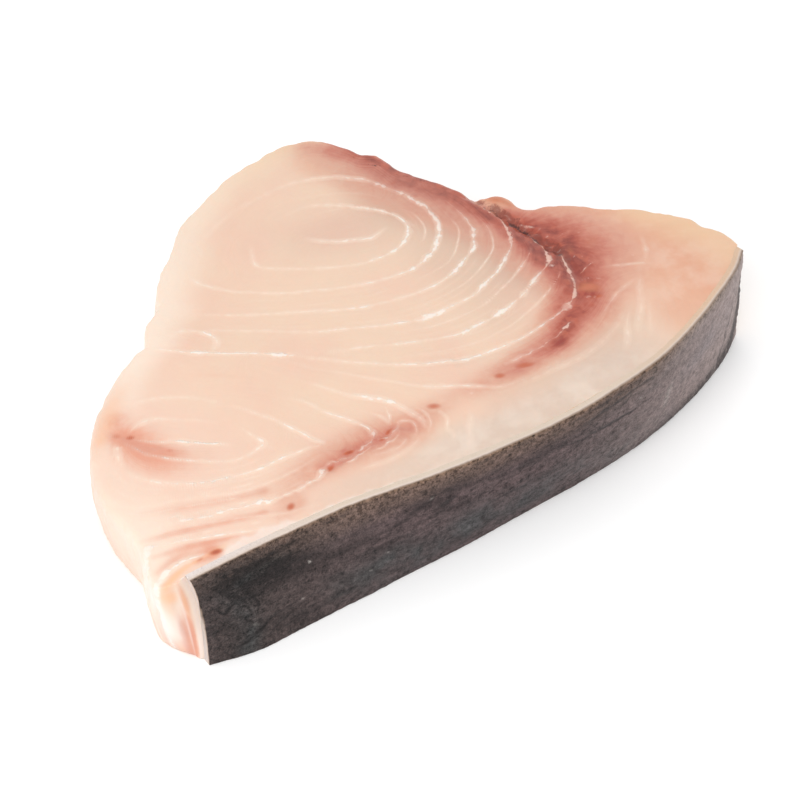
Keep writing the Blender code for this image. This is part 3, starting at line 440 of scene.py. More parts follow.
# The cleft where the dark membrane is torn, x, y, half width, strength: its dark line, and the
# brownish wedge that it opens into
cleftStroke = (
    (61, 45.8, 0.4, 0.4), (62.1, 42, 0.5, 0.6), (63, 38.2, 0.5, 0.7), (63.5, 34, 0.5, 0.65),
    (63.6, 29.6, 0.6, 0.7), (64.1, 26.6, 0.5, 0.6), (64.1, 23.6, 0.4, 0.5), (64.4, 20, 0.4, 0.3),
    (64.8, 16, 0.4, 0.2),
)
wedgeStroke = (
    (62.6, 43, 0.9, 0.6), (63.8, 38.6, 1.1, 0.7), (64.4, 34, 1.2, 0.6), (64.4, 29, 1.2, 0.6),
    (64.4, 24.4, 1.4, 0.6), (64.9, 20, 2, 0.8), (65.1, 16.6, 2.3, 0.8), (64.8, 13, 1.9, 0.7),
    (64.8, 10.4, 1.1, 0.3),
)

# Dark gaps along the cleft, and small wet highlights there: as for the spots above
tears = (
    (62.4, 39.4, 3, 0.4, -78, 0.65), (63.3, 36.2, 2.4, 0.4, -84, 0.65), (65.4, 31.4, 2.2, 0.35, -78, 0.6),
    (63.8, 30.2, 3, 0.7, -87, 0.95), (64.1, 27, 1.7, 0.6, -80, 1), (64, 23.2, 2.6, 0.5, -86, 0.85),
    (64.6, 19.3, 2.2, 0.8, -78, 0.7), (63.9, 16.6, 1.6, 0.7, -70, 0.65), (65, 14.2, 1.2, 0.6, -60, 0.6),
    (64, 11, 1.8, 0.5, -66, 0.55), (66.6, 23.2, 1.2, 0.4, -20, 0.5), (67.4, 17.4, 1.4, 0.5, -50, 0.45),
    (48, 78.2, 2.6, 0.26, -76, 0.55), (50.3, 71.2, 3.2, 0.28, -66, 0.62), (53, 63, 3.6, 0.28, -74, 0.66),
    (55.4, 57.2, 3, 0.26, -70, 0.64), (51.6, 68.4, 2.2, 0.22, -70, 0.55), (61.4, 47.4, 3, 0.3, -64, 0.6),
)
glints = (
    (65.8, 27.5, 1.7, 0.4, -60, 0.8), (67, 25, 1, 0.3, 20, 0.6), (66.6, 21.6, 0.8, 0.35, 0, 0.65),
    (65.8, 16, 0.7, 0.35, 0, 0.6), (60.6, 14.1, 0.7, 0.5, -60, 1), (60, 12.3, 0.9, 0.45, -30, 0.8),
    (64.4, 13.2, 0.6, 0.35, 0, 0.5), (66.8, 11.5, 0.45, 0.3, 0, 0.6), (68.4, 10.2, 0.45, 0.3, 0, 0.6),
    (63.2, 31.4, 0.9, 0.25, -70, 0.6), (64.9, 29.4, 0.7, 0.25, -50, 0.55),
    (65.4, 18.4, 0.8, 0.3, -40, 0.6), (63.9, 20.6, 0.9, 0.25, -80, 0.55), (70.5, 19.9, 0.55, 0.3, 0, 0.45),
    (74, 17.7, 0.6, 0.3, 0, 0.5), (59.5, -2, 0.9, 0.35, -35, 0.9), (60.7, -3, 0.6, 0.3, -35, 0.85),
    (64.2, 34, 2, 0.28, -84, 0.45), (62.9, 37.6, 1.6, 0.25, -76, 0.4), (65.2, 24.6, 1.2, 0.25, -50, 0.45),
    (78.6, 2.3, 0.9, 0.4, -35, 0.5), (89.7, -8, 1.3, 0.4, -35, 0.5), (22, -5.4, 0.5, 0.45, 0, 0.3),
    (14.6, -9.4, 0.7, 0.6, 0, 0.6),
)

# Orange fat and stained fat: x, y, half width, strength
rustStrokes = (
    ((64.4, 42.6, 1.2, 0.6), (66, 40.2, 1.6, 1), (67.2, 37, 1.3, 0.8), (67.6, 34.4, 0.9, 0.3)),
    ((-46, 47.6, 2.2, 0.08), (-51, 45, 3, 0.3), (-56, 41.6, 3.2, 0.42), (-61, 38, 3, 0.36),
     (-66, 33.6, 2.6, 0.3), (-69, 27.6, 2.2, 0.1)),
    ((-42, 45, 0.9, 0.05), (-36, 40.6, 1, 0.16), (-30, 35.6, 1.2, 0.24), (-24, 29.6, 1.2, 0.2),
     (-19, 24.6, 1, 0.05)),
    ((60, 2.4, 1.4, 0.5), (61.4, 1, 1.8, 1), (62.8, -0.4, 1.6, 0.9), (63.6, -2, 1.2, 0.4)),
    ((75.8, 14.2, 2, 0.2), (74.2, 13, 2.2, 0.4), (72.4, 12.8, 1.6, 0.2)),
    ((68.6, 15.2, 1.2, 0.3), (67.6, 13.8, 1.3, 0.5)), ((77.8, 2, 1.2, 0.3), (76.6, 1, 1.3, 0.35)),
    ((90.4, -7.6, 1.2, 0.2), (88.6, -7, 1.3, 0.3)),
    ((-81, -13, 1.4, 0.5), (-78, -11.9, 1.3, 0.75), (-74, -10.8, 1.1, 0.75), (-69, -10.4, 0.9, 0.55),
     (-62, -10.6, 1, 0.45), (-58, -10.8, 1.2, 0.15)),
    ((70.8, 31.6, 2.2, 0.25), (76, 27.6, 2.4, 0.35), (82, 21.4, 2.2, 0.3), (87, 15.6, 2, 0.15)),
    ((-63.6, 34.6, 1.6, 0.35), (-60.4, 37.4, 1.8, 0.15), (-56, 39.4, 1.8, 0.08)),
)

# Where the flesh's tones lie in the plan. "Along" gives the x where a tone rises from and to, and
# falls from and to, and a noise is given as amount, size and seed
tones = {
    "slant": (0.07, -0.04),  # how far the layers lean in x and y for each millimetre down
    "greyDepth": 14.0,  # depth of the greyer layer next to the skin
    "greyAlong": (-62, 10, 48, 74),
    "seamFatAlong": (-70, -62, -45, 10),  # pale fat on the skin's inner side
    "seamPatchAlong": (-66, -59, -50, -42),  # the stretch where that fat is deeper
    "seamPatchDepth": 2.2,
    "peachFrom": (52, 80),  # x + 0.3 * y over which the peach tone comes in
    "bloodNoise": ((0.10, 2.4, 51), (0.08, 1.1, 52)),
    "greyNoise": ((2.0, 14, 61),),
    "seamFatNoise": ((0.8, 3, 63), (0.5, 1.4, 68)),
    "peachNoise": ((4, 9, 62),),
    "rimNoise": ((0.9, 5.5, 66), (0.4, 2.2, 67)),
    "rimWidth": 6.0,  # width of the creamier band along the free edge
    "rimGap": (-68, 22),  # middle of the stretch of the lobe where the band is faint
    "rimGapSpread": 150.0,  # in square millimetres
    "rimWiderLeft": (-30, 40),  # x over which it narrows again from the left
    "rimWiderRight": (70, 84),  # x over which it widens to the right
    "rimEnd": (86, 100),  # x over which the band widens to the whole right end
    "meanReach": 60.0,  # from the hub to the free edge, about
    "lobeEnd": (-60, -20),  # x over which the lobe's paler tone fades out: partly its own tone, partly painted light from the left
    "edgeMiddle": 0.2,  # pale fat beside the skin's left end, from its inner corner
    "edgeWidth": 0.5,
    "gapsFrom": (22, 26),  # height over which the dark gaps fade in
}

# The flesh's mesh and the relief on it. A noise is given as amount, size and seed
fleshForm = {
    "cells": 256,  # squares across the cut face
    "under": 64,  # squares across the underside
    "roundRows": 5,
    "wallRows": 18,
    "footRounding": 0.8,
    "skinEdgeRounding": 0.06,
    "edgeWander": 0.17,
    "edgeNoise": ((1, 3.1, 5), (0.6, 1.3, 6)),
    "wallNoise": (0.22, 2.6, 41),
    "wallCreases": (0.12, 1.1, 42),
    "faceSwell": 0.35,
    "faceSwellLength": 46.0,
    "faceNoise": ((0.07, 4.5, 31), (0.035, 1.7, 32)),
    "septumRise": 0.16,
    "cleftDepth": 1.3,
    "seamDepth": 0.5,
    "lump": (66.4, 39.2, 1.8, 2.6),  # the lump of fat by the notch: x, y, half widths
    "lumpRise": 0.45,
    "lumpNoise": ((0.35, 1.2, 15),),
    "grooveNoise": ((0.4, 2.3, 18),),
    "tornRise": 0.4,
    "tornNoise": ((1, 1.7, 16), (0.6, 0.9, 17)),
    "tornWander": (((0.6, 1.5, 64),), ((0.6, 1.5, 65),)),  # in x and in y
    "underStep": 0.012,  # share of the way to the hub that each halved row moves in
    "bowOnFlesh": 2.2,  # how much faster the skin's bow dies out along the flesh than along the skin
}

# Grooves in the cut face: depth, half width, points
grooves = (
    (fleshForm["cleftDepth"], 1.3, tuple(row[:2] for row in cleftStroke)),
    (0.45, 2.0, ((64.5, 13), (61.5, 4.5), (57, 0.2), (47, -2.2), (33, -2.0), (20, 1.2))),
    (fleshForm["seamDepth"], 2.0, ((-34, -7.6), (-24, -6.6), (-14, -6.2), (-5, -6.4))),
    (0.45, 2.2, ((-60, 35), (-57, 31), (-54, 26), (-49, 21))),
)


def outwardOf(loop):
    # unit vectors out of a counter-clockwise loop, square to the line between each point's neighbours
    along = np.roll(loop, -1, 0) - np.roll(loop, 1, 0)
    normal = np.stack([along[:, 1], -along[:, 0]], -1)
    return normal / np.hypot(normal[:, 0], normal[:, 1])[:, None]


def fleshRim(count):
    # the whole edge of the flesh, counter-clockwise from the skin's left end: the skin's inner line,
    # then the smooth curve through the edge's rows, moved sideways a little by noise
    skinCount = round(count * pathLength(skinRows) / (pathLength(skinRows) + pathLength(edgeRows)))
    top, foot, bow = skinLines(skinCount, plan["skinThickness"] + plan["skinGap"])
    free = smoothPath(edgeRows, count - skinCount)
    out = outwardOf(np.vstack([top, free[:, :2]]))
    run = np.linspace(0, 1, len(free))
    hold = smoothstep(0, 0.02, run) * smoothstep(0, 0.03, 1 - run)
    along = run * pathLength(edgeRows)
    wander = noises(along, along * 0, fleshForm["edgeNoise"]) * hold * fleshForm["edgeWander"]
    free[:, :2] += across(free) * wander[:, None]
    upper = np.vstack([top, free[:, :2]])
    length = np.concatenate([[0], np.cumsum(np.hypot(*np.diff(upper, axis=0).T))])
    return SimpleNamespace(
        upper=upper,
        lower=np.vstack([foot, free[:, :2] + free[:, 2:4]]),
        out=out,
        swell=np.concatenate([bow, free[:, 4]]),
        rounding=np.concatenate([np.full(skinCount, fleshForm["skinEdgeRounding"]), free[:, 5]]),
        roughness=np.concatenate([np.zeros(skinCount), hold]),  # none beside the skin
        along=length,
        fromSkin=length[-1] - length,  # backwards along the edge from the skin's left end
    )


def squareToDisc(a, b):
    # concentric map: |a| or |b|, the larger, is the radius, and their ratio the angle
    wide = np.abs(a) >= np.abs(b)
    radius = np.where(wide, a, b)
    ratio = np.where(wide, b, a) / np.where(radius == 0, 1, radius)
    angle = np.where(wide, ratio * math.pi / 4, math.pi / 2 - ratio * math.pi / 4)
    angle = np.where(radius < 0, angle + math.pi, angle)
    return np.abs(radius), (angle / (2 * math.pi)) % 1.0


def rimAt(turn, loop):
    # the loop's point at a share of a whole turn, blended between the two nearest ones
    at = turn * len(loop)
    low = np.floor(at + 1e-7).astype(int)
    share = np.clip(at - low, 0, 1)[:, None]
    return loop[low % len(loop)] * (1 - share) + loop[(low + 1) % len(loop)] * share


def pieces(path, length, x, y, reach):
    # short pieces of a path, each with its start and the points that lie within reach of its box
    for start in range(0, len(path) - 1, length):
        part = path[start:start + length + 1]
        low, high = part[:, :2].min(0) - reach, part[:, :2].max(0) + reach
        near = np.flatnonzero((x > low[0]) & (x < high[0]) & (y > low[1]) & (y < high[1]))
        if len(near):
            yield start, part, near


def strokeField(x, y, rows, reach):
    # distance to a stroke in half widths, and the stroke's strength there
    fine = smoothPath(rows, max(8, int(pathLength(rows) / strokeStep)))
    best, power = np.full(len(x), farAway), np.zeros(len(x))
    for _, part, near in pieces(fine, 12, x, y, reach):
        gap = np.hypot(x[near, None] - part[:, 0], y[near, None] - part[:, 1]) / part[:, 2]
        k = gap.argmin(1)
        found = gap[np.arange(len(near)), k]
        closer = found < best[near]
        best[near[closer]] = found[closer]
        power[near[closer]] = part[k[closer], 3]
    return np.minimum(best, 9), power


def strokes(x, y, manyRows, sharpness=2.0):
    # several strokes, each fading as exp(-distance ** sharpness), laid over each other
    clear = np.ones(len(x))
    for rows in manyRows:
        gap, power = strokeField(x, y, rows, strokeReach * max(row[2] for row in rows))
        clear *= 1 - power * np.exp(-gap ** sharpness)
    return 1 - clear


def spots(x, y, rows):
    # ovals, each fading as exp(-(u ** 2 + v ** 2) ** 1.3) in its own half axes
    total = np.zeros(len(x))
    for cx, cy, longAxis, shortAxis, turn, power in rows:
        c, s = math.cos(math.radians(turn)), math.sin(math.radians(turn))
        u, v = (x - cx) * c + (y - cy) * s, (y - cy) * c - (x - cx) * s
        total = np.maximum(total, power * np.exp(-((u / longAxis) ** 2 + (v / shortAxis) ** 2) ** 1.3))
    return total


septum = {
    "seed": 21,
    "step": 0.4,  # between the fine points of a membrane
    "widthUneven": 0.45,  # how far the beads change its width and its strength
    "powerUneven": 0.5,
    "wander": 0.18,
    "jag": 0.9,
    "jagFrom": 0.5,  # membranes with more uneven fat than this are jagged too
    "betweenPoints": 260,
    "betweenStep": 0.5,
    "betweenWidth": 0.6,
    "betweenFade": 0.15,  # share of its length over which a faint membrane fades at each end
    "pull": 0.7,  # how much nearer a membrane of full strength counts
    "reach": 2.6,
}


def septumTable():
    # every membrane as fine points: x, y, width, strength, and the direction across it
    tables = []
    draw = np.random.default_rng(septum["seed"])
    for bead, rows in membranes.values():
        fine = smoothPath(rows, max(12, int(pathLength(rows) / septum["step"])))
        at = np.arange(len(fine)) * septum["step"]
        lumps = noises(at, at * 0, ((1, 1.6, int(draw.integers(999))), (0.5, 0.8, 77)))
        fine[:, 2] *= 1 + septum["widthUneven"] * bead * lumps
        fine[:, 3] *= np.clip(1 + septum["powerUneven"] * bead * lumps, 0.1, 1.3)
        side = septum["wander"] * softNoise(at, at * 0, 5.0, int(draw.integers(999)))
        jag = septum["jag"] * max(0, bead - septum["jagFrom"]) * softNoise(at, at * 0, 1.1, int(99 * bead))
        fine[:, :2] += across(fine) * (side + jag)[:, None]
        tables.append(np.hstack([fine, across(fine)]))
    count = septum["betweenPoints"]
    at, run = np.arange(count) * septum["betweenStep"], np.linspace(0, 1, count)
    fade = smoothstep(0, septum["betweenFade"], run) * smoothstep(0, septum["betweenFade"], run[::-1])
    for first, second, share, power in betweens:
        a, b = [smoothPath(membranes[name][1], count) for name in (first, second)]
        mid = a * (1 - share) + b * share
        patchy = softNoise(at, at * 0, 9.0, int(draw.integers(999)))
        mid[:, 2] = septum["betweenWidth"]
        mid[:, 3] = power * fade * np.clip(0.6 + patchy, 0, 1.2)
        tables.append(np.hstack([mid, across(mid)]))
    return tables


def septumField(x, y):
    # For each point its nearest membrane: signed distance, plain distance, width and strength.
    # A strong membrane wins over a faint one that is a little nearer
    signed, plain = np.full(len(x), 9.0), np.full(len(x), 9.0)
    width, power, score = np.full(len(x), 1.0), np.zeros(len(x)), np.full(len(x), farAway)
    for table in septumTable():
        for start, part, near in pieces(table, 14, x, y, septum["reach"]):
            dx, dy = x[near, None] - part[:, 0], y[near, None] - part[:, 1]
            gap = np.hypot(dx, dy)
            k = gap.argmin(1)
            found = gap[np.arange(len(near)), k]
            value = found - septum["pull"] * part[k, 3]
            take = (value < score[near]) & (found < septum["reach"])
            at, k = near[take], k[take]
            score[at] = value[take]
            plain[at] = found[take]
            atEnd = (start + k == 0) | (start + k == len(table) - 1)
            side = dx[take, k] * part[k, 4] + dy[take, k] * part[k, 5]
            signed[at] = np.where(atEnd, found[take], side)
            width[at] = part[k, 2]
            power[at] = part[k, 3]
    return signed, plain, width, power


ringSteps = {
    "whorlHeart": 0.3, "ring1": 1.0, "ring2": 2.0, "ring3": 3.0, "ring4": 4.0, "ring5": 5.0,
    "ring6": 6.0, "ring7": 7.0, "lobeHeart": 10.5, "lobe2": 9.7, "lobe3": 8.9, "lobe4": 8.0,
    "lobe5": 7.2, "lobe6": 6.6, "skinArc3": 8.0, "underMain": 7.0,
}


def ringField(x, y):
    # a smooth number that equals each membrane's own step along it: mean of the steps of all
    # membrane points, weighted by 1 / distance ** 4. Muscle fibres are drawn along its level lines
    points, steps = [], []
    for name, step in ringSteps.items():
        rows = membranes[name][1]
        fine = smoothPath(rows, max(6, int(pathLength(rows) / 1.6)))
        points.append(fine[:, :2])
        steps.append(np.full(len(fine), step))
    points, steps = np.vstack(points), np.concatenate(steps)
    total = np.zeros(len(x))
    for part in np.array_split(np.arange(len(x)), 40):
        square = (x[part, None] - points[:, 0]) ** 2 + (y[part, None] - points[:, 1]) ** 2
        weight = 1 / (square + 0.6) ** 2
        total[part] = (weight * steps).sum(1) / weight.sum(1)
    return total


def tornPlace(x, y):
    # moves a point a little, so that torn edges wander
    inX, inY = fleshForm["tornWander"]
    return x + noises(x, y, inX), y + noises(x, y, inY)


def faceHeight(x, y):
    # the height of the cut face: the thickness, a slow swell (a sine along x times a cosine along
    # y), less depth * exp(-distance ** 2) for each groove, torn shreds in the wedge, a round hill
    # for the lump of fat by the notch, and fine noise
    rise = np.sin(2 * math.pi * (x + 0.4 * y) / fleshForm["faceSwellLength"])
    fall = np.cos(math.pi * (y - 0.3 * x) / fleshForm["faceSwellLength"])
    height = plan["thickness"] + fleshForm["faceSwell"] * rise * fall
    for depth, width, points in grooves:
        rows = [(px, py, width, 1.0) for px, py in points]
        gap = strokeField(*tornPlace(x, y), rows, 6.0)[0]
        height -= depth * np.exp(-gap ** 2) * (1 + noises(x, y, fleshForm["grooveNoise"]))
    torn = strokes(x, y, (wedgeStroke,), 3.0)
    height += fleshForm["tornRise"] * torn * noises(x, y, fleshForm["tornNoise"])
    lumpX, lumpY, halfX, halfY = fleshForm["lump"]
    lump = np.exp(-((x - lumpX) / halfX) ** 2 - ((y - lumpY) / halfY) ** 2)
    height += fleshForm["lumpRise"] * lump * (1 + noises(x, y, fleshForm["lumpNoise"]))
    return height + noises(x, y, fleshForm["faceNoise"])


def gridQuads(columns, rows):
    # quads of a grid whose points run row by row, with columns + 1 points in a row
    i, j = np.meshgrid(np.arange(columns), np.arange(rows))
    a = (j * (columns + 1) + i).ravel()
    return np.stack([a, a + 1, a + columns + 2, a + columns + 1], -1)


def discOrder(cells):
    # radius and turn of a square grid's points on the disc, and its rim points in order of turn
    line = np.linspace(-1, 1, cells + 1)
    a, b = [grid.ravel() for grid in np.meshgrid(line, line)]
    radius, turn = squareToDisc(a, b)
    rim = np.flatnonzero(np.maximum(np.abs(a), np.abs(b)) > 1 - 1e-9)
    return radius, turn, rim[np.argsort(np.round(turn[rim] * 4 * cells) % (4 * cells))]


def putInScene(name, data):
    piece = bpy.data.objects.new(name, data)
    bpy.context.scene.collection.objects.link(piece)
    return piece


def meshFrom(name, points, parts, sharpAngle=None):
    # points in plan millimetres, and arrays of triangles, quads or wider faces
    mesh = bpy.data.meshes.new(name)
    shifted = (points - (plan["middleX"], plan["middleY"], 0.0)) * mm
    corners = np.concatenate([part.ravel() for part in parts]).astype(np.int32)
    sizes = np.concatenate([np.full(len(part), part.shape[1]) for part in parts]).astype(np.int32)
    mesh.vertices.add(len(points))
    mesh.vertices.foreach_set("co", shifted.astype(np.float32).ravel())
    mesh.loops.add(len(corners))
    mesh.loops.foreach_set("vertex_index", corners)
    mesh.polygons.add(len(sizes))
    mesh.polygons.foreach_set("loop_start", (np.cumsum(sizes) - sizes).astype(np.int32))
    mesh.update(calc_edges=True)
    mesh.validate()
    mesh.shade_smooth()
    if sharpAngle:
        mesh.set_sharp_from_angle(angle=math.radians(sharpAngle))
    return putInScene(name, mesh)


def addValues(piece, name, *values):
    # one value for each point, or three that are kept together as a vector
    kind, field = ("FLOAT", "value") if len(values) == 1 else ("FLOAT_VECTOR", "vector")
    layer = piece.data.attributes.new(name, kind, "POINT")
    layer.data.foreach_set(field, np.stack(values, -1).astype(np.float32).ravel())


# Folds and fat on the end wall of the tip: distance along the edge from the skin's end, height
# above the table, half widths along and up, rise of the wall
tipFolds = (
    (6.4, 14, 2.2, 9, 0.9), (3, 12, 0.8, 9, -0.5), (9.6, 17, 0.9, 8, -0.6), (1.4, 15, 0.6, 12, 0.25),
    (12.6, 14, 2.2, 9, 0.1), (6.5, 25, 2, 3, 0.3),
)

# Colour on that wall: the same four numbers, then white, blood and rust. The white is painted highlight on
# the folds where the light from the left falls
tipColours = (
    (7.6, 13, 2.7, 10.5, 1, 0, 0), (2.6, 8, 1.2, 10, 0, 0.5, 0.15), (9.2, 21, 1.8, 6, 0.9, 0, 0),
    (5.4, 25.8, 2.6, 3.2, 0, 0, 1), (3, 12, 0.3, 12, 0.6, 0, 0), (2, 22, 0.8, 9, 0, 0.24, 0.6),
    (4.3, 8, 1.3, 8, 0, 0.54, 0.15), (10.6, 22, 0.9, 7, 0.9, 0, 0), (4.6, 3, 3.4, 4.4, 0, 0.58, 0),
    (10.6, 6, 0.7, 8, 0, 0.14, 0), (14, 8, 2.4, 7, 0, 0.1, 0), (12.4, 22, 0.8, 9, 0.5, 0, 0),
)


def hill(place, level, row):
    # exp(-u ** 2 - v ** 2) round the middle of a fold or a patch on the end wall of the tip
    middle, height, halfLength, halfHeight = row[:4]
    return np.exp(-((place - middle) / halfLength) ** 2 - ((level - height) / halfHeight) ** 2)


def edgeLines(rim, rimZ):
    # Rows of points round the whole edge: a quarter circle from the cut face, then straight down to
    # the foot with half a sine of swelling, soft noise and the folds of the tip, then the small
    # rounding at the foot
    rows = []
    for row in range(1, fleshForm["roundRows"] + 1):
        turnDown = 0.5 * math.pi * row / fleshForm["roundRows"]
        back = rim.rounding * (1 - math.sin(turnDown))
        height = rimZ - rim.rounding * (1 - math.cos(turnDown))
        rows.append(np.column_stack([rim.upper - rim.out * back[:, None], height]))
    start = rows[-1][:, 2]
    foot = fleshForm["footRounding"]
    fromEnd = np.minimum(rim.along, fleshForm["bowOnFlesh"] * rim.fromSkin)
    for row in range(1, fleshForm["wallRows"] + 1):
        share = row / fleshForm["wallRows"] * (1 - foot / plan["thickness"])
        height = start * (1 - share)
        rough = noises(rim.along, height, (fleshForm["wallNoise"],))
        rough += noises(rim.along, height * 0.6, (fleshForm["wallCreases"],))
        for fold in tipFolds:
            rough += fold[4] * hill(rim.fromSkin, height, fold)
        rough *= rim.roughness * math.sin(math.pi * min(1, share + 0.1)) ** 0.5
        bulge = rim.swell * math.sin(math.pi * share) + rough
        spot = rim.upper + (rim.lower - rim.upper) * share + rim.out * bulge[:, None]
        spot[:, 0] += endBow(fromEnd, share)
        rows.append(np.column_stack([spot, height]))
    for back, height in ((0.3, 0.3), (1, 0)):
        level = np.full(len(start), foot * height)
        rows.append(np.column_stack([rim.lower - rim.out * foot * back, level]))
    return rows


def fleshShell():
    # Top: a square grid pulled out to the rim by the concentric map. Then the edge's rows go down,
    # their count is halved twice, and a coarser grid closes the underside
    cells, under = fleshForm["cells"], fleshForm["under"]
    hub = np.array(plan["hub"])
    rim = fleshRim(4 * cells)
    radius, turn, ring = discOrder(cells)
    inner = rim.upper - rim.out * rim.rounding[:, None]
    xy = hub + radius[:, None] * (rimAt(turn, inner) - hub)
    xy[ring] = inner
    z = faceHeight(xy[:, 0], xy[:, 1])
    rows = edgeLines(rim, z[ring])
    points, parts = [np.column_stack([xy, z])], [gridQuads(cells, cells)]
    count, total = 4 * cells, len(xy)
    for line in rows:
        new = total + np.arange(count)
        points.append(line)
        parts.append(np.stack([ring, new, np.roll(new, -1), np.roll(ring, -1)], -1))
        ring, total = new, total + count
    wall = slice(len(xy), total)
    footLine = rows[-1][:, :2]
    while count > 4 * under:  # halve the count: three triangles for each pair of edges
        count //= 2
        footLine = footLine[::2] + (hub - footLine[::2]) * fleshForm["underStep"]
        new = total + np.arange(count)
        points.append(np.column_stack([footLine, np.zeros(count)]))
        a, b, c = ring[::2], ring[1::2], np.roll(ring[::2], -1)
        after = np.roll(new, -1)
        parts += [np.stack(corners, -1) for corners in ((a, new, b), (b, new, after), (b, after, c))]
        ring, total = new, total + count
    underRadius, underTurn, underRim = discOrder(under)
    inside = np.setdiff1d(np.arange(len(underRadius)), underRim)
    spot = hub + underRadius[:, None] * (rimAt(underTurn, footLine) - hub)
    index = np.zeros(len(underRadius), int)
    index[underRim] = ring
    index[inside] = total + np.arange(len(inside))
    points.append(np.column_stack([spot[inside], np.zeros(len(inside))]))
    parts.append(index[gridQuads(under, under)][:, ::-1])
    points = np.vstack(points)
    toRim, holds = np.zeros(len(points)), np.ones(len(points))
    toRim[:len(xy)] = (1 - radius) * tones["meanReach"]
    holds[:len(xy)] = rimAt(turn, rim.roughness[:, None])[:, 0]
    fromSkin = np.tile(rim.fromSkin, len(rows))
    return SimpleNamespace(
        points=points, parts=parts, toRim=toRim, holds=holds, wall=wall, fromSkin=fromSkin)


def band(x, limits):
    # rises from 0 to 1 between the first two limits and falls back between the last two
    return smoothstep(*limits[:2], x) * (1 - smoothstep(*limits[2:], x))


def skinSide(x, y, z):
    # the greyer layer beside the skin, and the pale fat on the skin's inner side
    skinLine = smoothPath(skinRows, 200)
    toSkin = y - np.interp(x, skinLine[:, 0], skinLine[:, 1])
    reach = tones["greyDepth"] * (0.75 + 0.5 * smoothstep(-20, 20, x) - 0.3 * smoothstep(40, 80, x))
    grey = 1 - smoothstep(0.45, 1.0, (toSkin - noises(x, y, tones["greyNoise"])) / reach)
    depth = plan["skinThickness"] + tones["seamPatchDepth"] * band(x, tones["seamPatchAlong"])
    depth += noises(x, y, tones["seamFatNoise"])
    fat = (1 - smoothstep(-0.2, 1.4, toSkin - depth)) * band(x, tones["seamFatAlong"])
    fat *= smoothstep(plan["thickness"] - 1.5, plan["thickness"] - 0.5, z)
    return grey * band(x, tones["greyAlong"]), fat


def creamRim(x, y, drop, shell, blood, rust):
    # the creamier band along the free edge: wider at the left, the right end and the upper left,
    # patchy down the wall, and none where there is blood or rust
    upperLeft = smoothstep(40, 60, y) * (1 - smoothstep(-5, 20, x))
    left, right = 1 - smoothstep(*tones["rimWiderLeft"], x), smoothstep(*tones["rimWiderRight"], x)
    widen = 0.8 * left + 0.8 * right + 0.9 * upperLeft
    rim = (1 - smoothstep(0, tones["rimWidth"] * (1 + widen), shell.toRim)) * shell.holds
    gapX, gapY = tones["rimGap"]
    rim *= 1 - 0.7 * np.exp(-((x - gapX) ** 2 + (y - gapY) ** 2) / tones["rimGapSpread"])
    rim = np.maximum(rim, 0.8 * smoothstep(*tones["rimEnd"], x))
    rim *= (1 - np.clip(2.5 * blood, 0, 1)) * (1 - np.clip(2 * rust, 0, 1))
    patches = np.clip(0.55 + noises(x, y, tones["rimNoise"]), 0, 1)
    return rim * (1 - 0.8 * patches * smoothstep(0.5, 5, drop) * smoothstep(-30, 0, x))


def makeFlesh():
    shell = fleshShell()
    points, thick = shell.points, plan["thickness"]

    # the layers lean a little, so each point reads the pattern where its own layer meets the top
    drop = thick - points[:, 2]
    x = points[:, 0] + tones["slant"][0] * drop
    y = points[:, 1] + tones["slant"][1] * drop
    signed, plain, width, power = septumField(x, y)
    # membranes stand up a little from the cut face: strength * exp(-(distance / half width) ** 2)
    onTop = smoothstep(thick - 3.0, thick - 1.0, points[:, 2])
    points[:, 2] += onTop * fleshForm["septumRise"] * power * np.exp(-((plain / (0.5 * width + 0.15)) ** 2))
    z = points[:, 2]

    blood = strokes(x, y, bloodStrokes.values(), 2.2)
    blood *= 1 + noises(x, y, tones["bloodNoise"])
    rust = strokes(x, y, rustStrokes)
    grey, edgeFat = skinSide(x, y, z)
    rim = creamRim(x, y, drop, shell, blood, rust)
    peach = smoothstep(*tones["peachFrom"], x + 0.3 * y + noises(x, y, tones["peachNoise"]))
    tornX, tornY = tornPlace(x, y)
    cleft, wedge = [strokes(tornX, tornY, (rows,), 3.0) for rows in (cleftStroke, wedgeStroke)]
    gaps = np.maximum(0.8 * cleft, spots(tornX, tornY, tears)) * smoothstep(*tones["gapsFrom"], z)
    # the fibres follow the rings, and turn along the rim near the upper edge
    fibre = ringField(x, y) + 0.22 * np.minimum(shell.toRim, 14) * smoothstep(52, 64, y)

    # the end wall of the tip: pale fat beside the skin, then its patches of colour: blood, rust and white
    # painted highlight
    white = np.zeros(len(points))
    wall, levels = shell.wall, z[shell.wall]
    corner = np.exp(-((shell.fromSkin - tones["edgeMiddle"]) / tones["edgeWidth"]) ** 4)
    edgeFat[wall] = np.maximum(edgeFat[wall], corner)
    for row in tipColours:
        patch = hill(shell.fromSkin, levels, row)
        for values, share in zip((white, blood, rust), row[4:]):
            values[wall] = np.maximum(values[wall], share * patch)

    greying, left = strokes(x, y, greyingStrokes.values()), 1 - smoothstep(*tones["lobeEnd"], x)
    piece = meshFrom("steakFlesh", points, shell.parts)
    addValues(piece, "septum", signed, plain, width)
    addValues(piece, "septumPower", power)
    addValues(piece, "stain", np.clip(blood, 0, 1.2), rust, spots(x, y, bloodSpots))
    addValues(piece, "tone", grey, peach, rim)
    addValues(piece, "extra", greying, left, white)
    addValues(piece, "torn", gaps, wedge, spots(x, y, glints))
    addValues(piece, "edgeFat", edgeFat)
    addValues(piece, "fibre", fibre)
    return piece


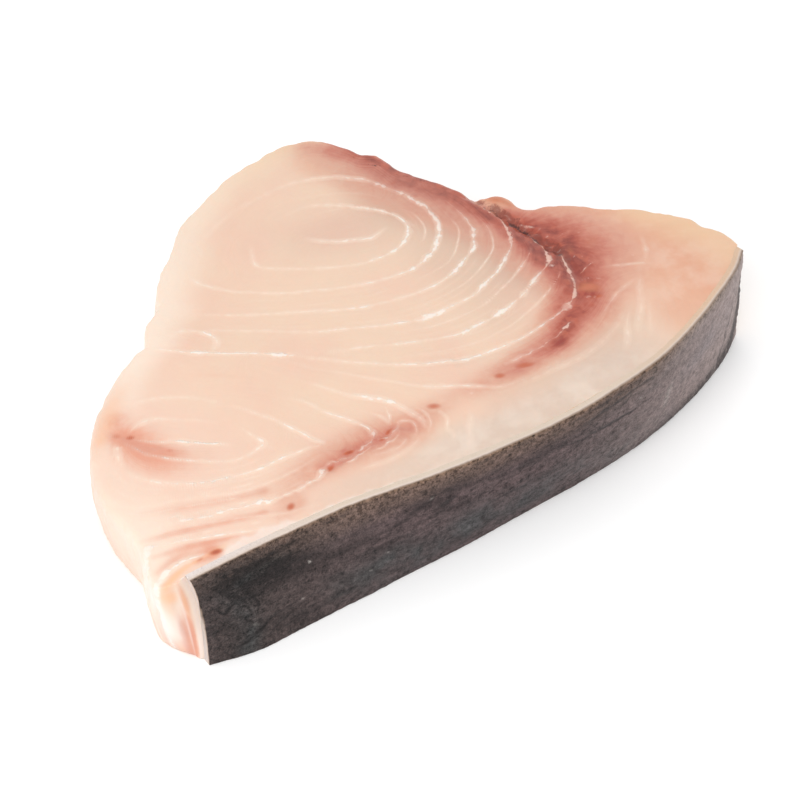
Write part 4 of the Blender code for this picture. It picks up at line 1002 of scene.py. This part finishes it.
skinForm = {
    "columns": 560,
    "rows": 84,
    "edgeDepths": (0.0, 0.05, 0.12, 0.2, 0.35, 0.55, 0.78, 1.0),  # shares of the way in, at a cut edge
    "innerRows": 8,
    "edgeRounding": 0.25,
    "edgeRoundingDepth": 0.5,
    "endSlantLength": 4.0,
    "overlap": 0.12,  # how far the hidden inner face sits inside the flesh
    "ripples": 0.10,
    "lumps": 0.16,
    "pits": 0.05,
    "markWander": 0.35,
}

# Marks on the skin: distance from its left end, height above the table, half width, strength
skinMarks = {
    "dark": (
        ((100, 20.8, 0.5, 0.4), (107, 19.6, 0.55, 0.75), (113, 19.5, 0.6, 0.8), (117, 18.7, 0.6, 0.8),
         (120.5, 18.8, 0.6, 0.8), (125, 18.2, 0.6, 0.8), (128, 18.7, 0.5, 0.6), (133, 18.2, 0.5, 0.3)),
        ((106, 24.4, 0.6, 0.3), (112.7, 25.1, 0.8, 0.7), (118.6, 25.5, 0.8, 0.7), (124, 26.2, 0.7, 0.5),
         (131, 25.4, 0.9, 0.5)),
        ((103, 27.2, 0.6, 0.3), (110, 27.8, 0.7, 0.5), (118, 27.9, 0.7, 0.6), (126, 28.2, 0.6, 0.4)),
        ((92, 23, 0.6, 0.2), (98, 23.6, 0.7, 0.45), (104, 23, 0.6, 0.2)),
        ((6.4, 22.8, 0.5, 0.8), (8.6, 20.6, 0.6, 1), (10.7, 18.9, 0.5, 0.95), (11.9, 16.4, 0.4, 0.8)),
        ((11.4, 24.4, 0.6, 0.7), (12.4, 21.6, 0.9, 1), (13.6, 18.8, 0.6, 1), (14.5, 16, 0.5, 1),
         (14.4, 13, 0.4, 0.7)),
        ((13, 22, 0.9, 0.95), (16, 20.8, 0.9, 0.9), (19, 22, 0.9, 0.8), (23, 23.4, 0.9, 0.7),
         (28, 24, 0.7, 0.3)),
        ((11, 26.6, 0.6, 0.6), (15.4, 25.6, 0.8, 0.9), (19, 26, 0.8, 0.8), (24, 26.8, 0.7, 0.5),
         (31, 26.6, 0.6, 0.3)),
        ((7.6, 28, 0.5, 0.6), (8.8, 25.6, 0.6, 0.8), (8.6, 23.4, 0.5, 0.7)),
        ((3.4, 18.6, 0.4, 0.6), (5.8, 15.4, 0.5, 0.9), (7.6, 17.2, 0.5, 0.8), (9.4, 18.6, 0.4, 0.6)),
        ((9.6, 16.4, 0.35, 0.5), (11.2, 18.2, 0.35, 0.7), (13, 17.4, 0.35, 0.6), (13.6, 14.6, 0.35, 0.5)),
        ((8.6, 14.4, 0.35, 0.4), (10.4, 15.8, 0.35, 0.6), (12, 15, 0.35, 0.6), (12.4, 12.4, 0.35, 0.4)),
        ((4.6, 24.6, 0.4, 0.4), (7, 21.4, 0.4, 0.7), (9.4, 17.4, 0.4, 0.5)),
        ((9, 13, 0.5, 0.5), (11, 11.4, 0.6, 0.6), (12.4, 9, 0.5, 0.5), (10.8, 7.4, 0.5, 0.3)),
        ((7, 3.6, 0.6, 0.6), (12, 5.4, 0.7, 0.7), (17, 8.2, 0.7, 0.6), (22, 9.6, 0.6, 0.4),
         (28, 11, 0.5, 0.2)),
        ((13, 2.6, 0.5, 0.3), (20, 6, 0.6, 0.5), (27, 8.8, 0.5, 0.3)),
        ((2.4, 9, 0.6, 0.5), (3.4, 5, 0.6, 0.5), (5, 1.6, 0.6, 0.4)),
        ((1, 24, 4, 0.35), (6, 25, 4.4, 0.5), (12, 23.4, 5.4, 0.66), (18, 22, 5.6, 0.7),
         (26, 21, 5.4, 0.5), (34, 19, 5, 0.3), (42, 18, 4, 0.1)),
        ((79.4, 12.6, 0.7, 0.3), (78.4, 9.4, 0.9, 0.7), (79.6, 6.6, 0.9, 0.7), (82.4, 5.2, 0.7, 0.3)),
        ((64, 19.2, 0.6, 0.3), (67.4, 20.4, 0.9, 0.8), (71, 21.6, 0.7, 0.4)),
        ((46, 14, 0.6, 0.3), (52, 15, 0.8, 0.4), (58, 14.4, 0.6, 0.3)),
        ((89, 13, 0.8, 0.2), (96, 14, 0.9, 0.4), (104, 12.6, 0.8, 0.3)),
        ((57, 21, 0.6, 0.3), (62, 22.2, 0.8, 0.5), (66, 23.6, 0.6, 0.3)),
        ((179.4, 23, 0.7, 0.3), (178.6, 19, 2.2, 0.8), (177.6, 13, 3, 0.95), (176.4, 7, 3.6, 0.95),
         (173, 2.6, 4.4, 0.95), (165, 0, 4.6, 0.9), (154, -0.6, 4.6, 0.85), (140, -1.4, 3.8, 0.75),
         (118, -2, 2.8, 0.6), (96, -2.2, 2.6, 0.4)),
        ((171.4, 20, 0.6, 0.3), (169.6, 14, 0.8, 0.55), (167.4, 9, 0.9, 0.5), (164.6, 5, 0.9, 0.4)),
    ),
    # pale marks: painted glints on the skin
    "pale": (
        ((140, 17.6, 0.8, 0.15), (138.8, 14, 1.1, 0.4), (138.2, 9.6, 1, 0.2)),
        ((30.2, 19.5, 0.35, 0.9), (30.5, 19.4, 0.3, 0.8)), ((45.7, 8.4, 0.3, 0.4), (46, 8.3, 0.3, 0.4)),
        ((50.8, 11.9, 0.3, 0.45), (51.1, 11.8, 0.3, 0.4)),
        ((126.7, 21.2, 0.3, 0.5), (127, 21.1, 0.3, 0.5)),
        ((131.2, 10.2, 0.3, 0.4), (131.4, 9.6, 0.3, 0.4)),
        ((26.2, 9.9, 0.35, 0.35), (26.6, 9.9, 0.3, 0.3)), ((12.6, 8.6, 0.4, 0.25), (13.2, 8.4, 0.4, 0.25)),
        ((63.6, 23.2, 0.3, 0.35), (64, 23.4, 0.3, 0.35)),
    ),
    "cool": (
        ((6, 22, 2.4, 0.4), (10, 16, 3.4, 0.8), (11, 9, 3.6, 0.8), (10, 2, 3, 0.6)),
        ((11, 23, 1.6, 0.7), (17, 24, 1.8, 0.7), (24, 24.6, 1.8, 0.4)),
        ((36, 7, 5, 0.4), (50, 7, 6.4, 0.8), (64, 7, 6.6, 0.85), (76, 8, 6, 0.8), (90, 8.4, 6, 0.8),
         (108, 8, 6, 0.8), (124, 5, 5, 0.7), (140, 3, 4, 0.5)),
        ((146, 16, 4, 0.2), (156, 18, 4.4, 0.4), (166, 18, 4, 0.4)),
    ),
}


def makeSkin():
    # One closed upright section at each column, carried along the skin's length: the outer face
    # going down, the cut edge below, the hidden inner face going up and the cut edge on top. A point
    # lies on the straight line from the upper to the lower edge, at the share v of the way down,
    # then out by bow * sin(pi * v) and the relief, and in by its depth
    columns, rows = skinForm["columns"], skinForm["rows"]
    deeps = np.array(skinForm["edgeDepths"])
    down = np.linspace(0, 1, rows + 1)
    up = np.linspace(1, 0, skinForm["innerRows"] + 1)
    v = np.concatenate([down, np.ones(len(deeps) - 2), up, np.zeros(len(deeps) - 2)])
    back = np.concatenate([0 * down, deeps[1:-1], np.ones(len(up)), deeps[-2:0:-1]])
    top, foot, bow = skinLines(columns + 1, 0.0)
    out = across(top)
    depth = back * (plan["skinThickness"] + plan["skinGap"] + skinForm["overlap"])
    along = np.linspace(0, pathLength(skinRows), columns + 1)[:, None] + 0 * v[None, :]
    level = faceHeight(top[:, 0], top[:, 1])[:, None] * (1 - v)[None, :]
    dip = skinForm["edgeRounding"] * np.clip(1 - depth / skinForm["edgeRoundingDepth"], 0, 1) ** 2
    level = level - dip * (v == 0) + dip * (v == 1)
    ripples = softNoise(along * 0.10, level, 1.0, 71) + 0.6 * softNoise(along * 0.3, level, 0.55, 72)
    relief = skinForm["ripples"] * ripples + skinForm["lumps"] * softNoise(along, level * 1.4, 9.0, 73)
    relief += skinForm["pits"] * softNoise(along, level, 0.9, 74)
    push = bow[:, None] * np.sin(math.pi * v)[None, :] - depth + (back == 0) * relief
    xy = top[:, None] * (1 - v)[None, :, None] + foot[:, None] * v[None, :, None]
    xy[..., 0] += endBow(along, v[None, :])
    nearEnd = np.clip(1 - (along[-1] - along) / skinForm["endSlantLength"], 0, 1)
    forward = np.stack([-out[:, 1], out[:, 0]], -1)
    xy += out[:, None] * push[..., None]
    xy += forward[:, None] * (plan["endSlant"] * back * nearEnd ** 2)[..., None]
    around = len(v)
    grid = np.arange((columns + 1) * around).reshape(columns + 1, around)
    a, b = grid[:-1], grid[1:]
    sides = np.stack([a, np.roll(a, -1, 1), np.roll(b, -1, 1), b], -1).reshape(-1, 4)
    ends = [grid[:1, ::-1], grid[-1:]]
    piece = meshFrom("steakSkin", np.dstack([xy, level]).reshape(-1, 3), [sides] + ends, 50)
    far, high = along.ravel(), level.ravel()
    addValues(piece, "depth", (0 * along + depth).ravel())
    addValues(piece, "skinPlace", far / far.max(), (0 * along + v).ravel(), 0 * far)
    wander = skinForm["markWander"]
    markX = far + wander * softNoise(far, high, 1.6, 75)
    markZ = high + wander * softNoise(far, high, 1.6, 76)
    marks = [strokes(markX, markZ, skinMarks[kind]) for kind in ("dark", "pale", "cool")]
    addValues(piece, "marks", *marks)
    return piece


studioLight = 1.3  # how much brighter than a white card at 1.0 the studio's light is


def colour(red, green, blue):
    # the base colour that looks like this sRGB colour, 0 to 255, in the studio's light
    parts = np.array((red, green, blue)) / 255
    linear = np.where(parts <= 0.04045, parts / 12.92, ((parts + 0.055) / 1.055) ** 2.4)
    return (*(linear / studioLight).tolist(), 1.0)


def addNode(tree, kind, inputs=None, **settings):
    # a new node: settings are its own values, inputs are numbers, colours or wires
    node = tree.nodes.new(kind)
    for name, value in settings.items():
        setattr(node, name, value)
    return fillIn(tree, node, inputs or {})


def fillIn(tree, node, inputs):
    for name, value in inputs.items():
        if isinstance(value, Wire):
            tree.links.new(value.socket, node.inputs[name])
        else:
            node.inputs[name].default_value = value
    return node


class Wire:
    # one output of a node: sums, products and so on of wires and numbers are new math nodes
    def __init__(self, tree, socket):
        self.tree = tree
        self.socket = socket

    def math(self, operation, a, b=0.0):
        return wire(self.tree, "ShaderNodeMath", 0, {0: a, 1: b}, operation=operation)

    def __add__(self, other):
        return self.math("ADD", self, other)

    def __radd__(self, other):
        return self.math("ADD", other, self)

    def __sub__(self, other):
        return self.math("SUBTRACT", self, other)

    def __mul__(self, other):
        return self.math("MULTIPLY", self, other)

    def __truediv__(self, other):
        return self.math("DIVIDE", self, other)

    def __abs__(self):
        return self.math("ABSOLUTE", self)


def wire(tree, kind, output, inputs=None, **settings):
    return Wire(tree, addNode(tree, kind, inputs, **settings).outputs[output])


def larger(first, second):
    return first.math("MAXIMUM", first, second)


def fade(value, low, high, start=0.0, end=1.0):
    # smooth step of the value from low to high
    inputs = {"Value": value, "From Min": low, "From Max": high, "To Min": start, "To Max": end}
    return wire(value.tree, "ShaderNodeMapRange", "Result", inputs, interpolation_type="SMOOTHSTEP")


def blend(share, first, second):
    return wire(share.tree, "ShaderNodeMix", 2, {0: share, 6: first, 7: second}, data_type="RGBA")


def layered(tone, *coats):
    # each coat lies over the ones before it, as far as its share goes
    for share, coat in coats:
        tone = blend(share, tone, coat)
    return tone


def noise(place, scale, detail=2.0, roughness=0.5, distortion=0.0):
    inputs = {"Vector": place, "Scale": scale, "Detail": detail, "Roughness": roughness,
              "Distortion": distortion}
    return wire(place.tree, "ShaderNodeTexNoise", "Fac", inputs)


def centred(place, *settings):
    return noise(place, *settings) - 0.5


def times(vector, factor):
    return wire(vector.tree, "ShaderNodeVectorMath", 0, {0: vector, 3: factor}, operation="SCALE")


def stretched(place, *scales):
    return wire(place.tree, "ShaderNodeMapping", 0, {"Vector": place, "Scale": scales})


def split(vector):
    outputs = addNode(vector.tree, "ShaderNodeSeparateXYZ", {0: vector}).outputs
    return [Wire(vector.tree, output) for output in outputs]


def readOne(tree, name):
    return wire(tree, "ShaderNodeAttribute", "Fac", attribute_name=name)


def readThree(tree, name):
    return split(wire(tree, "ShaderNodeAttribute", "Vector", attribute_name=name))


def newMaterial(name):
    material = bpy.data.materials.new(name)
    material.use_nodes = True
    tree = material.node_tree
    return material, tree, wire(tree, "ShaderNodeTexCoord", "Object")


def finishShader(tree, look, finalColour, roughness, raised):
    # the Principled BSDF: what changes over the surface, then the look's own fixed values
    bump = {"Height": raised, "Distance": look["bump"], "Strength": 1.0}
    fillIn(tree, tree.nodes["Principled BSDF"], {
        "Base Color": finalColour,
        "Roughness": roughness,
        "Normal": wire(tree, "ShaderNodeBump", 0, bump),
        **look["shader"],
    })


def makeGrainGroup():
    # fine speckle and the small bumps that go with it, used by the flesh and by the skin
    group = bpy.data.node_groups.new("fineGrain", "ShaderNodeTree")
    for name, kind in (("Place", "Vector"), ("Scale", "Float"), ("Contrast", "Float")):
        group.interface.new_socket(name, in_out="INPUT", socket_type=f"NodeSocket{kind}")
    for name in ("Speckle", "Height"):
        group.interface.new_socket(name, in_out="OUTPUT", socket_type="NodeSocketFloat")
    given = group.nodes.new("NodeGroupInput").outputs
    place, scale, contrast = [Wire(group, given[name]) for name in ("Place", "Scale", "Contrast")]
    both = noise(place, scale, 3.0, 0.6) * 0.65 + noise(place, scale * 0.27) * 0.35
    speckle = (both - 0.5) * contrast
    fillIn(group, group.nodes.new("NodeGroupOutput"), {"Speckle": speckle, "Height": both})
    return group


def useGrain(place, group, look):
    inputs = {"Place": place, "Scale": look["grainScale"], "Contrast": look["grainContrast"]}
    node = addNode(place.tree, "ShaderNodeGroup", inputs, node_tree=group)
    return [Wire(place.tree, node.outputs[name]) for name in ("Speckle", "Height")]


fleshLook = {
    "base": colour(243, 211, 186),
    "rosy": colour(243, 205, 182),
    "rim": colour(254, 235, 217),
    "rimRight": colour(243, 206, 168),
    "lobe": colour(247, 212, 192),
    "nearSkin": colour(226, 201, 183),
    "nearSkinPale": colour(236, 215, 198),
    "peach": colour(234, 175, 144),
    "bloodFaint": colour(226, 168, 144),
    "bloodMid": colour(210, 132, 111),
    "bloodDeep": colour(185, 90, 70),
    "bloodDark": colour(144, 56, 42),
    "greying": colour(168, 126, 112),
    "greyingOver": colour(196, 168, 152),
    "bloodLeft": colour(239, 170, 143),
    "spot": colour(198, 95, 54),
    "spotDeep": colour(160, 58, 46),
    "wedge": colour(138, 66, 52),
    "cleft": colour(84, 42, 36),
    "mottle": colour(206, 108, 80),
    "glint": colour(244, 212, 198),
    "edgeFat": colour(249, 231, 220),
    "rust": colour(206, 122, 86),
    "rustLeft": colour(252, 194, 148),
    "fat": colour(253, 240, 228),
    "white": colour(254, 247, 240),
    "membrane": colour(251, 226, 206),
    "stainedMembrane": colour(226, 170, 152),
    # noise, in waves per metre
    "fibreScale": 60.0,
    "broadScale": 45.0,
    "jitterScale": 850.0,
    "lumpScale": 560.0,
    "wispScale": 120.0,
    "fineScale": 420.0,
    "mottleScale": 340.0,
    "shredScale": 1000.0,
    "grainScale": 900.0,
    "grainContrast": 0.05,
    # where a finish changes along the steak: from x to x, in metres
    "fatSwells": (-0.05, -0.02),
    "rimTurns": (-0.035, 0.055),
    "bloodTurns": (-0.064, -0.054),
    "rustTurns": (-0.06, -0.02),
    "fibresShow": (-0.06, -0.03),
    "roughness": 0.42,
    "bump": 0.0002,  # in metres, as the subsurface scale is
    "shader": {
        "IOR": 1.4,
        "Subsurface Weight": 0.2,
        "Subsurface Scale": 0.0014,
        "Subsurface Radius": (1.0, 0.45, 0.3),
        "Coat Weight": 0.08,
        "Coat Roughness": 0.25,
    },
}


def membraneShares(place, x, blood, look):
    # how much the core and the soft border of the nearest membrane show at a point: each fades
    # with the distance divided by the width, and the core is broken into beads of fat by noise
    signed, plain, width = readThree(place.tree, "septum")
    power = readOne(place.tree, "septumPower")
    jitter = centred(place, look["jitterScale"])
    # halfway between two membranes the signed distance jumps: the plain one keeps a line away
    clear = larger(abs(signed + jitter * 0.28), plain - 0.25)
    lumps = noise(place, look["lumpScale"])
    swollen = 1.0 + fade(x, *look["fatSwells"]) * fade(power, 0.65, 0.95, 0.0, 0.6)
    pinched = larger(fade(lumps, 0.4, 0.62, 0.5, 1.1), fade(width, 1.6, 2.2))
    core = fade(clear / (width * swollen * pinched), 0.06, 0.42, 1.0, 0.0)
    core = core * power * fade(lumps, 0.38, 0.6, 0.4, 1.0)
    border = fade(plain / width, 0.25, 1.2, 1.0, 0.0) * fade(plain, 0.9, 1.4, 1.0, 0.0)
    border = border * fade(power, 0.0, 0.6) * fade(blood, 0.2, 0.7, 0.5, 0.15)
    strong = fade(power, 0.3, 0.8)
    return core, border, strong, core * strong * fade(width, 1.6, 2.4, 0.8, 0.2)


def bloodRamp(soaked, look):
    ramp = addNode(soaked.tree, "ShaderNodeValToRGB", {"Fac": soaked})
    steps = ((0.25, "bloodFaint"), (0.48, "bloodMid"), (0.75, "bloodDeep"), (1.0, "bloodDark"))
    elements = ramp.color_ramp.elements
    while len(elements) < len(steps):
        elements.new(0.5)
    for element, (position, name) in zip(elements, steps):
        element.position = position
        element.color = look[name]
    return Wire(soaked.tree, ramp.outputs["Color"])


def fleshMaterial(group):
    look = fleshLook
    material, tree, place = newMaterial("rawFlesh")
    blood, rust, dark = readThree(tree, "stain")
    nearSkin, peach, rim = readThree(tree, "tone")
    # fat here is the white painted highlight on the tip's end wall
    greying, left, fat = readThree(tree, "extra")
    cleft, wedge, glint = readThree(tree, "torn")
    edgeFat = readOne(tree, "edgeFat")
    x = split(place)[0]

    # fibres: noise squeezed across the rings and drawn out along them
    flat = split(times(place, look["fibreScale"]))
    laid = {0: readOne(tree, "fibre") * 9.0, 1: flat[0], 2: flat[1]}
    streak = centred(wire(tree, "ShaderNodeCombineXYZ", 0, laid), 1.0, 4.0, 0.6)
    broad = centred(place, look["broadScale"])
    fine = centred(place, look["fineScale"], 3.0, 0.65, 0.5)
    wisps = noise(place, look["wispScale"], 3.0, 0.55, 0.25)
    speckle, height = useGrain(place, group, look)

    # the clean flesh, and its greyer, peach and creamy parts; the paler lobe is partly its own tone and
    # partly painted light from the left
    tone = blend(fade(broad, -0.16, 0.2), look["base"], look["rosy"])
    cloudy = fade(wisps, 0.4, 0.72)
    tone = layered(
        tone,
        (left * 0.8, look["lobe"]),
        (nearSkin, blend(cloudy, look["nearSkin"], look["nearSkinPale"])),
        (peach, look["peach"]),
        (peach * cloudy * 0.28, look["rim"]),
        (rim * 0.8, blend(fade(x, *look["rimTurns"]), look["rim"], look["rimRight"])),
    )

    # blood soaks in unevenly along the fibres
    soaked = blood * (1.0 + (streak * 0.7 + fine * 0.5))
    stain = blend(fade(x, *look["bloodTurns"], 0.7, 0.0), bloodRamp(soaked, look), look["bloodLeft"])
    rustTone = blend(fade(x, *look["rustTurns"]), look["rustLeft"], look["rust"])
    spotTone = blend(fade(larger(dark, blood), 0.55, 0.85), look["spot"], look["spotDeep"])
    mottled = fade(noise(place, look["mottleScale"]), 0.54, 0.66) * fade(blood, 0.5, 0.85)
    ragged = 1.0 + (streak + fine + centred(place, look["shredScale"], 3.0, 0.7)) * 1.8
    tone = layered(
        tone,
        (greying * 0.55, look["greying"]),
        (fade(soaked, 0.0, 0.3), stain),
        (greying * 0.22, look["greyingOver"]),
        (fade(rust, 0.05, 1.0, 0.0, 0.85), rustTone),
        (fade(dark, 0.12, 0.7, 0.0, 0.9), spotTone),
        (mottled * 0.45, look["mottle"]),
        (fade(wedge * ragged, 0.2, 0.62, 0.0, 0.7), look["wedge"]),
        (fade(cleft * ragged, 0.38, 0.72, 0.0, 0.82), look["cleft"]),
    )

    # fat and membranes lie over it all, stained where the blood is, and the tip's white painted highlight
    core, border, strong, ridge = membraneShares(place, x, blood, look)
    stained = fade(blood, 0.08, 0.6)
    skinny = blend(stained, look["membrane"], look["stainedMembrane"])
    fatty = blend(stained * 0.8, look["fat"], look["stainedMembrane"])
    tone = layered(
        tone,
        (border, skinny),
        (fade(core, 0.02, 0.75), blend(strong, skinny, fatty)),
        (fat * 0.95, look["white"]),
        (fade(glint, 0.15, 0.9) * fade(fine, -0.12, 0.1, 0.25, 0.85), look["glint"]),
        (edgeFat * fade(wisps, 0.3, 0.6, 0.6, 1.0), look["edgeFat"]),
    )
    fibres = streak * fade(x, *look["fibresShow"], 0.02, 0.06)
    tone = times(tone, 1.0 + (fibres + speckle))
    raised = height * 0.25 + streak * 0.25 + ridge
    finishShader(tree, look, tone, look["roughness"] + broad * 0.25, raised)
    return material


skinLook = {
    "dark": colour(40, 34, 34),
    "left": colour(76, 65, 63),
    "mauve": colour(93, 77, 77),
    "coolDark": colour(66, 70, 70),
    "cool": colour(84, 84, 85),
    # coolPale, pale, tan and grooveRight lighten the right end: partly the skin's own tone, partly painted
    # sheen
    "coolPale": colour(134, 127, 132),
    "brown": colour(124, 101, 88),
    "pale": colour(186, 168, 164),
    "tan": colour(156, 138, 124),
    "rim": colour(140, 112, 90),
    "rimDark": colour(62, 46, 38),
    "groove": colour(26, 22, 22),
    "grooveRight": colour(62, 56, 56),
    "speck": colour(236, 228, 220),
    "under": colour(160, 138, 122),
    "line": colour(232, 215, 203),
    "dermisLeft": colour(238, 225, 219),
    "dermisMiddle": colour(226, 208, 190),
    "dermisRight": colour(229, 196, 168),
    # noise, in waves per metre
    "lineScale": 900.0,
    "pebbleScale": 620.0,
    "patchScale": 150.0,
    "cloudScale": 70.0,
    "dotScale": 1100.0,
    "wormScale": 1500.0,
    "grainScale": 2300.0,
    # strong, as the skin's fine grain also stands for painted glints
    "grainContrast": 3.6,
    "roughness": 0.62,
    "bump": 0.00018,  # in metres
    "shader": {"Specular IOR Level": 0.18},
}


def skinMaterial(group):
    look = skinLook
    material, tree, place = newMaterial("fishSkin")
    run, fall = readThree(tree, "skinPlace")[:2]
    darkMark, paleMark, coolMark = readThree(tree, "marks")
    speckle, height = useGrain(place, group, look)

    # the grain is drawn out along the skin, and downwards near its right end
    toEnd = fade(run, 0.72, 0.86)
    drawn = stretched(place, 0.25, 0.5, 1.0)
    hung = stretched(place, 1.0, 1.0, 0.22)
    lineLong, lineDown = [centred(way, look["lineScale"], 3.0, 0.6, 0.5) for way in (drawn, hung)]
    lines = wire(tree, "ShaderNodeMix", 0, {0: toEnd, 2: lineLong, 3: lineDown}, data_type="FLOAT")
    pebbles = centred(place, look["pebbleScale"], 3.0, 0.6, 0.4)
    patches = noise(drawn, look["patchScale"], 3.0, 0.6, 0.8)
    clouds = noise(place, look["cloudScale"], 3.0, 0.6)

    # from the dark left end to the pale right end, with cool areas low down; the paler right end is partly
    # the skin's own tone and partly painted sheen where the skin curves round to the right
    tone = blend(fade(run, 0.06, 0.36), look["left"], look["mauve"])
    coolShare = coolMark * fade(clouds, 0.4, 0.6, 0.35, 1.0)
    tone = layered(
        tone,
        (fade(patches, 0.45, 0.65, 0.0, 0.5), look["dark"]),
        (coolShare, blend(fade(run, 0.2, 0.5), look["coolDark"], look["cool"])),
        (fade(run, 0.5, 1.12), look["pale"]),
        (coolShare * toEnd, look["coolPale"]),
    )

    # a browner border under the cut face, with dark dots
    wavy = fall + (patches - 0.5) * 0.2 + toEnd * 0.13
    notLeft = fade(run, 0.02, 0.3, 0.3, 1.0)
    dots = fade(noise(place, look["dotScale"]), 0.52, 0.62)
    tone = layered(
        tone,
        (fade(wavy, 0.0, 0.3, 0.75, 0.0) * notLeft, blend(toEnd, look["brown"], look["tan"])),
        (fade(fall, 0.0, 0.05, 0.6, 0.0) * notLeft, blend(toEnd, look["rim"], look["tan"])),
        (dots * fade(wavy, 0.04, 0.26, 0.75, 0.0), look["rimDark"]),
    )

    # grooves and pale specks, then the fine grain as light and dark; the pale specks are painted glints,
    # and the strong fine grain is partly painted glints
    marked = fade(darkMark * (1.0 + (lines + pebbles) * 2.8), 0.05, 0.8, 0.0, 0.85)
    tone = blend(marked, tone, blend(fade(run, 0.2, 0.7), look["groove"], look["grooveRight"]))
    tone = blend(paleMark * 0.6, tone, look["speck"])
    worms = noise(place, look["wormScale"], 2.0, 0.6, 0.9)
    wrinkled = fade(worms, 0.3, 0.7, -0.42, 0.42) * fade(run, 0.05, 0.3, 1.0, 0.35)
    shade = lines * 1.3 + pebbles * 0.8 + speckle + wrinkled
    tone = times(tone, larger(1.0 + shade * fade(run, 0.55, 0.95, 1.0, 0.55), 0.15))

    # inwards from the outer face: dark pigment, a brown border, a pale line, then dermis
    inner = blend(fade(run, 0.02, 0.24), look["dermisLeft"], look["dermisMiddle"])
    inner = blend(fade(run, 0.6, 0.9), inner, look["dermisRight"])
    depth = readOne(tree, "depth")
    inner = blend(fade(depth, 0.5, 1.4), look["line"], inner)
    ground = depth + pebbles * 0.35
    tone = blend(fade(ground, 0.06, 0.3), tone, look["under"])
    tone = blend(fade(ground, 0.22, fade(run, 0.2, 0.6, 0.62, 0.95)), tone, inner)
    raised = height * 1.2 + pebbles * 0.9 + lines * 1.2 + wrinkled * 0.8 - marked
    finishShader(tree, look, tone, look["roughness"] + lines * 0.3, raised)
    return material


studio = {
    "focal": 135.0,
    "sensor": 36.0,
    "distance": 723.0,
    "turn": -39.7,  # in degrees
    "elevation": 45.0,
    "floorColour": (0.97, 0.97, 0.97, 1.0),
    "floorSize": 6.0,  # in metres
    "sky": 0.95,
    # each softbox: x, y, z of its middle and its size, in metres, and its power
    "softboxes": ((-0.42, -0.22, 0.45, 0.45, 2.1), (0.55, 0.35, 0.5, 0.7, 0.7)),
    "softboxAim": (0.0, 0.0, 0.02),
}


def makeFloor():
    mesh = bpy.data.meshes.new("floor")
    half = studio["floorSize"] / 2
    corners = [(x * half, y * half, 0) for x, y in ((-1, -1), (1, -1), (1, 1), (-1, 1))]
    mesh.from_pydata(corners, [], [(0, 1, 2, 3)])
    material = bpy.data.materials.new("paleFloor")
    material.use_nodes = True
    fixed = {"Base Color": studio["floorColour"], "Roughness": 0.9, "Specular IOR Level": 0.1}
    fillIn(material.node_tree, material.node_tree.nodes["Principled BSDF"], fixed)
    mesh.materials.append(material)
    return putInScene("floor", mesh)


def makeLights():
    world = bpy.data.worlds.new("softSky")
    world.use_nodes = True
    sky = {"Color": (1.0, 1.0, 1.0, 1.0), "Strength": studio["sky"]}
    fillIn(world.node_tree, world.node_tree.nodes["Background"], sky)
    bpy.context.scene.world = world
    for number, (x, y, z, size, watts) in enumerate(studio["softboxes"]):
        light = bpy.data.lights.new(f"softbox{number}", "AREA")
        light.size = size
        light.energy = watts
        lamp = putInScene(light.name, light)
        lamp.location = (x, y, z)
        toSteak = Vector(studio["softboxAim"]) - lamp.location
        lamp.rotation_euler = toSteak.to_track_quat("-Z", "Y").to_euler()


def makeCamera():
    turn, lift = math.radians(studio["turn"]), math.radians(studio["elevation"])
    ahead = Vector((-math.sin(turn) * math.cos(lift), math.cos(turn) * math.cos(lift), -math.sin(lift)))
    aim = Vector((-plan["middleX"], -plan["middleY"], plan["thickness"])) * mm
    data = bpy.data.cameras.new("camera")
    data.lens = studio["focal"]
    data.sensor_width = studio["sensor"]
    data.clip_start = 0.01
    camera = putInScene("camera", data)
    camera.location = aim - ahead * studio["distance"] * mm
    camera.rotation_euler = ahead.to_track_quat("-Z", "Y").to_euler()
    bpy.context.scene.camera = camera
    bpy.context.scene.view_settings.view_transform = "Standard"


floor = makeFloor()
makeLights()
makeCamera()
print("studio ready")
fineGrain = makeGrainGroup()
flesh = makeFlesh()
flesh.data.materials.append(fleshMaterial(fineGrain))
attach(flesh, "root")
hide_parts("flesh")
print("flesh made:", len(flesh.data.vertices), "points")
skin = makeSkin()
skin.data.materials.append(skinMaterial(fineGrain))
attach(skin, "root")
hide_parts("skin")
print("skin made:", len(skin.data.vertices), "points")
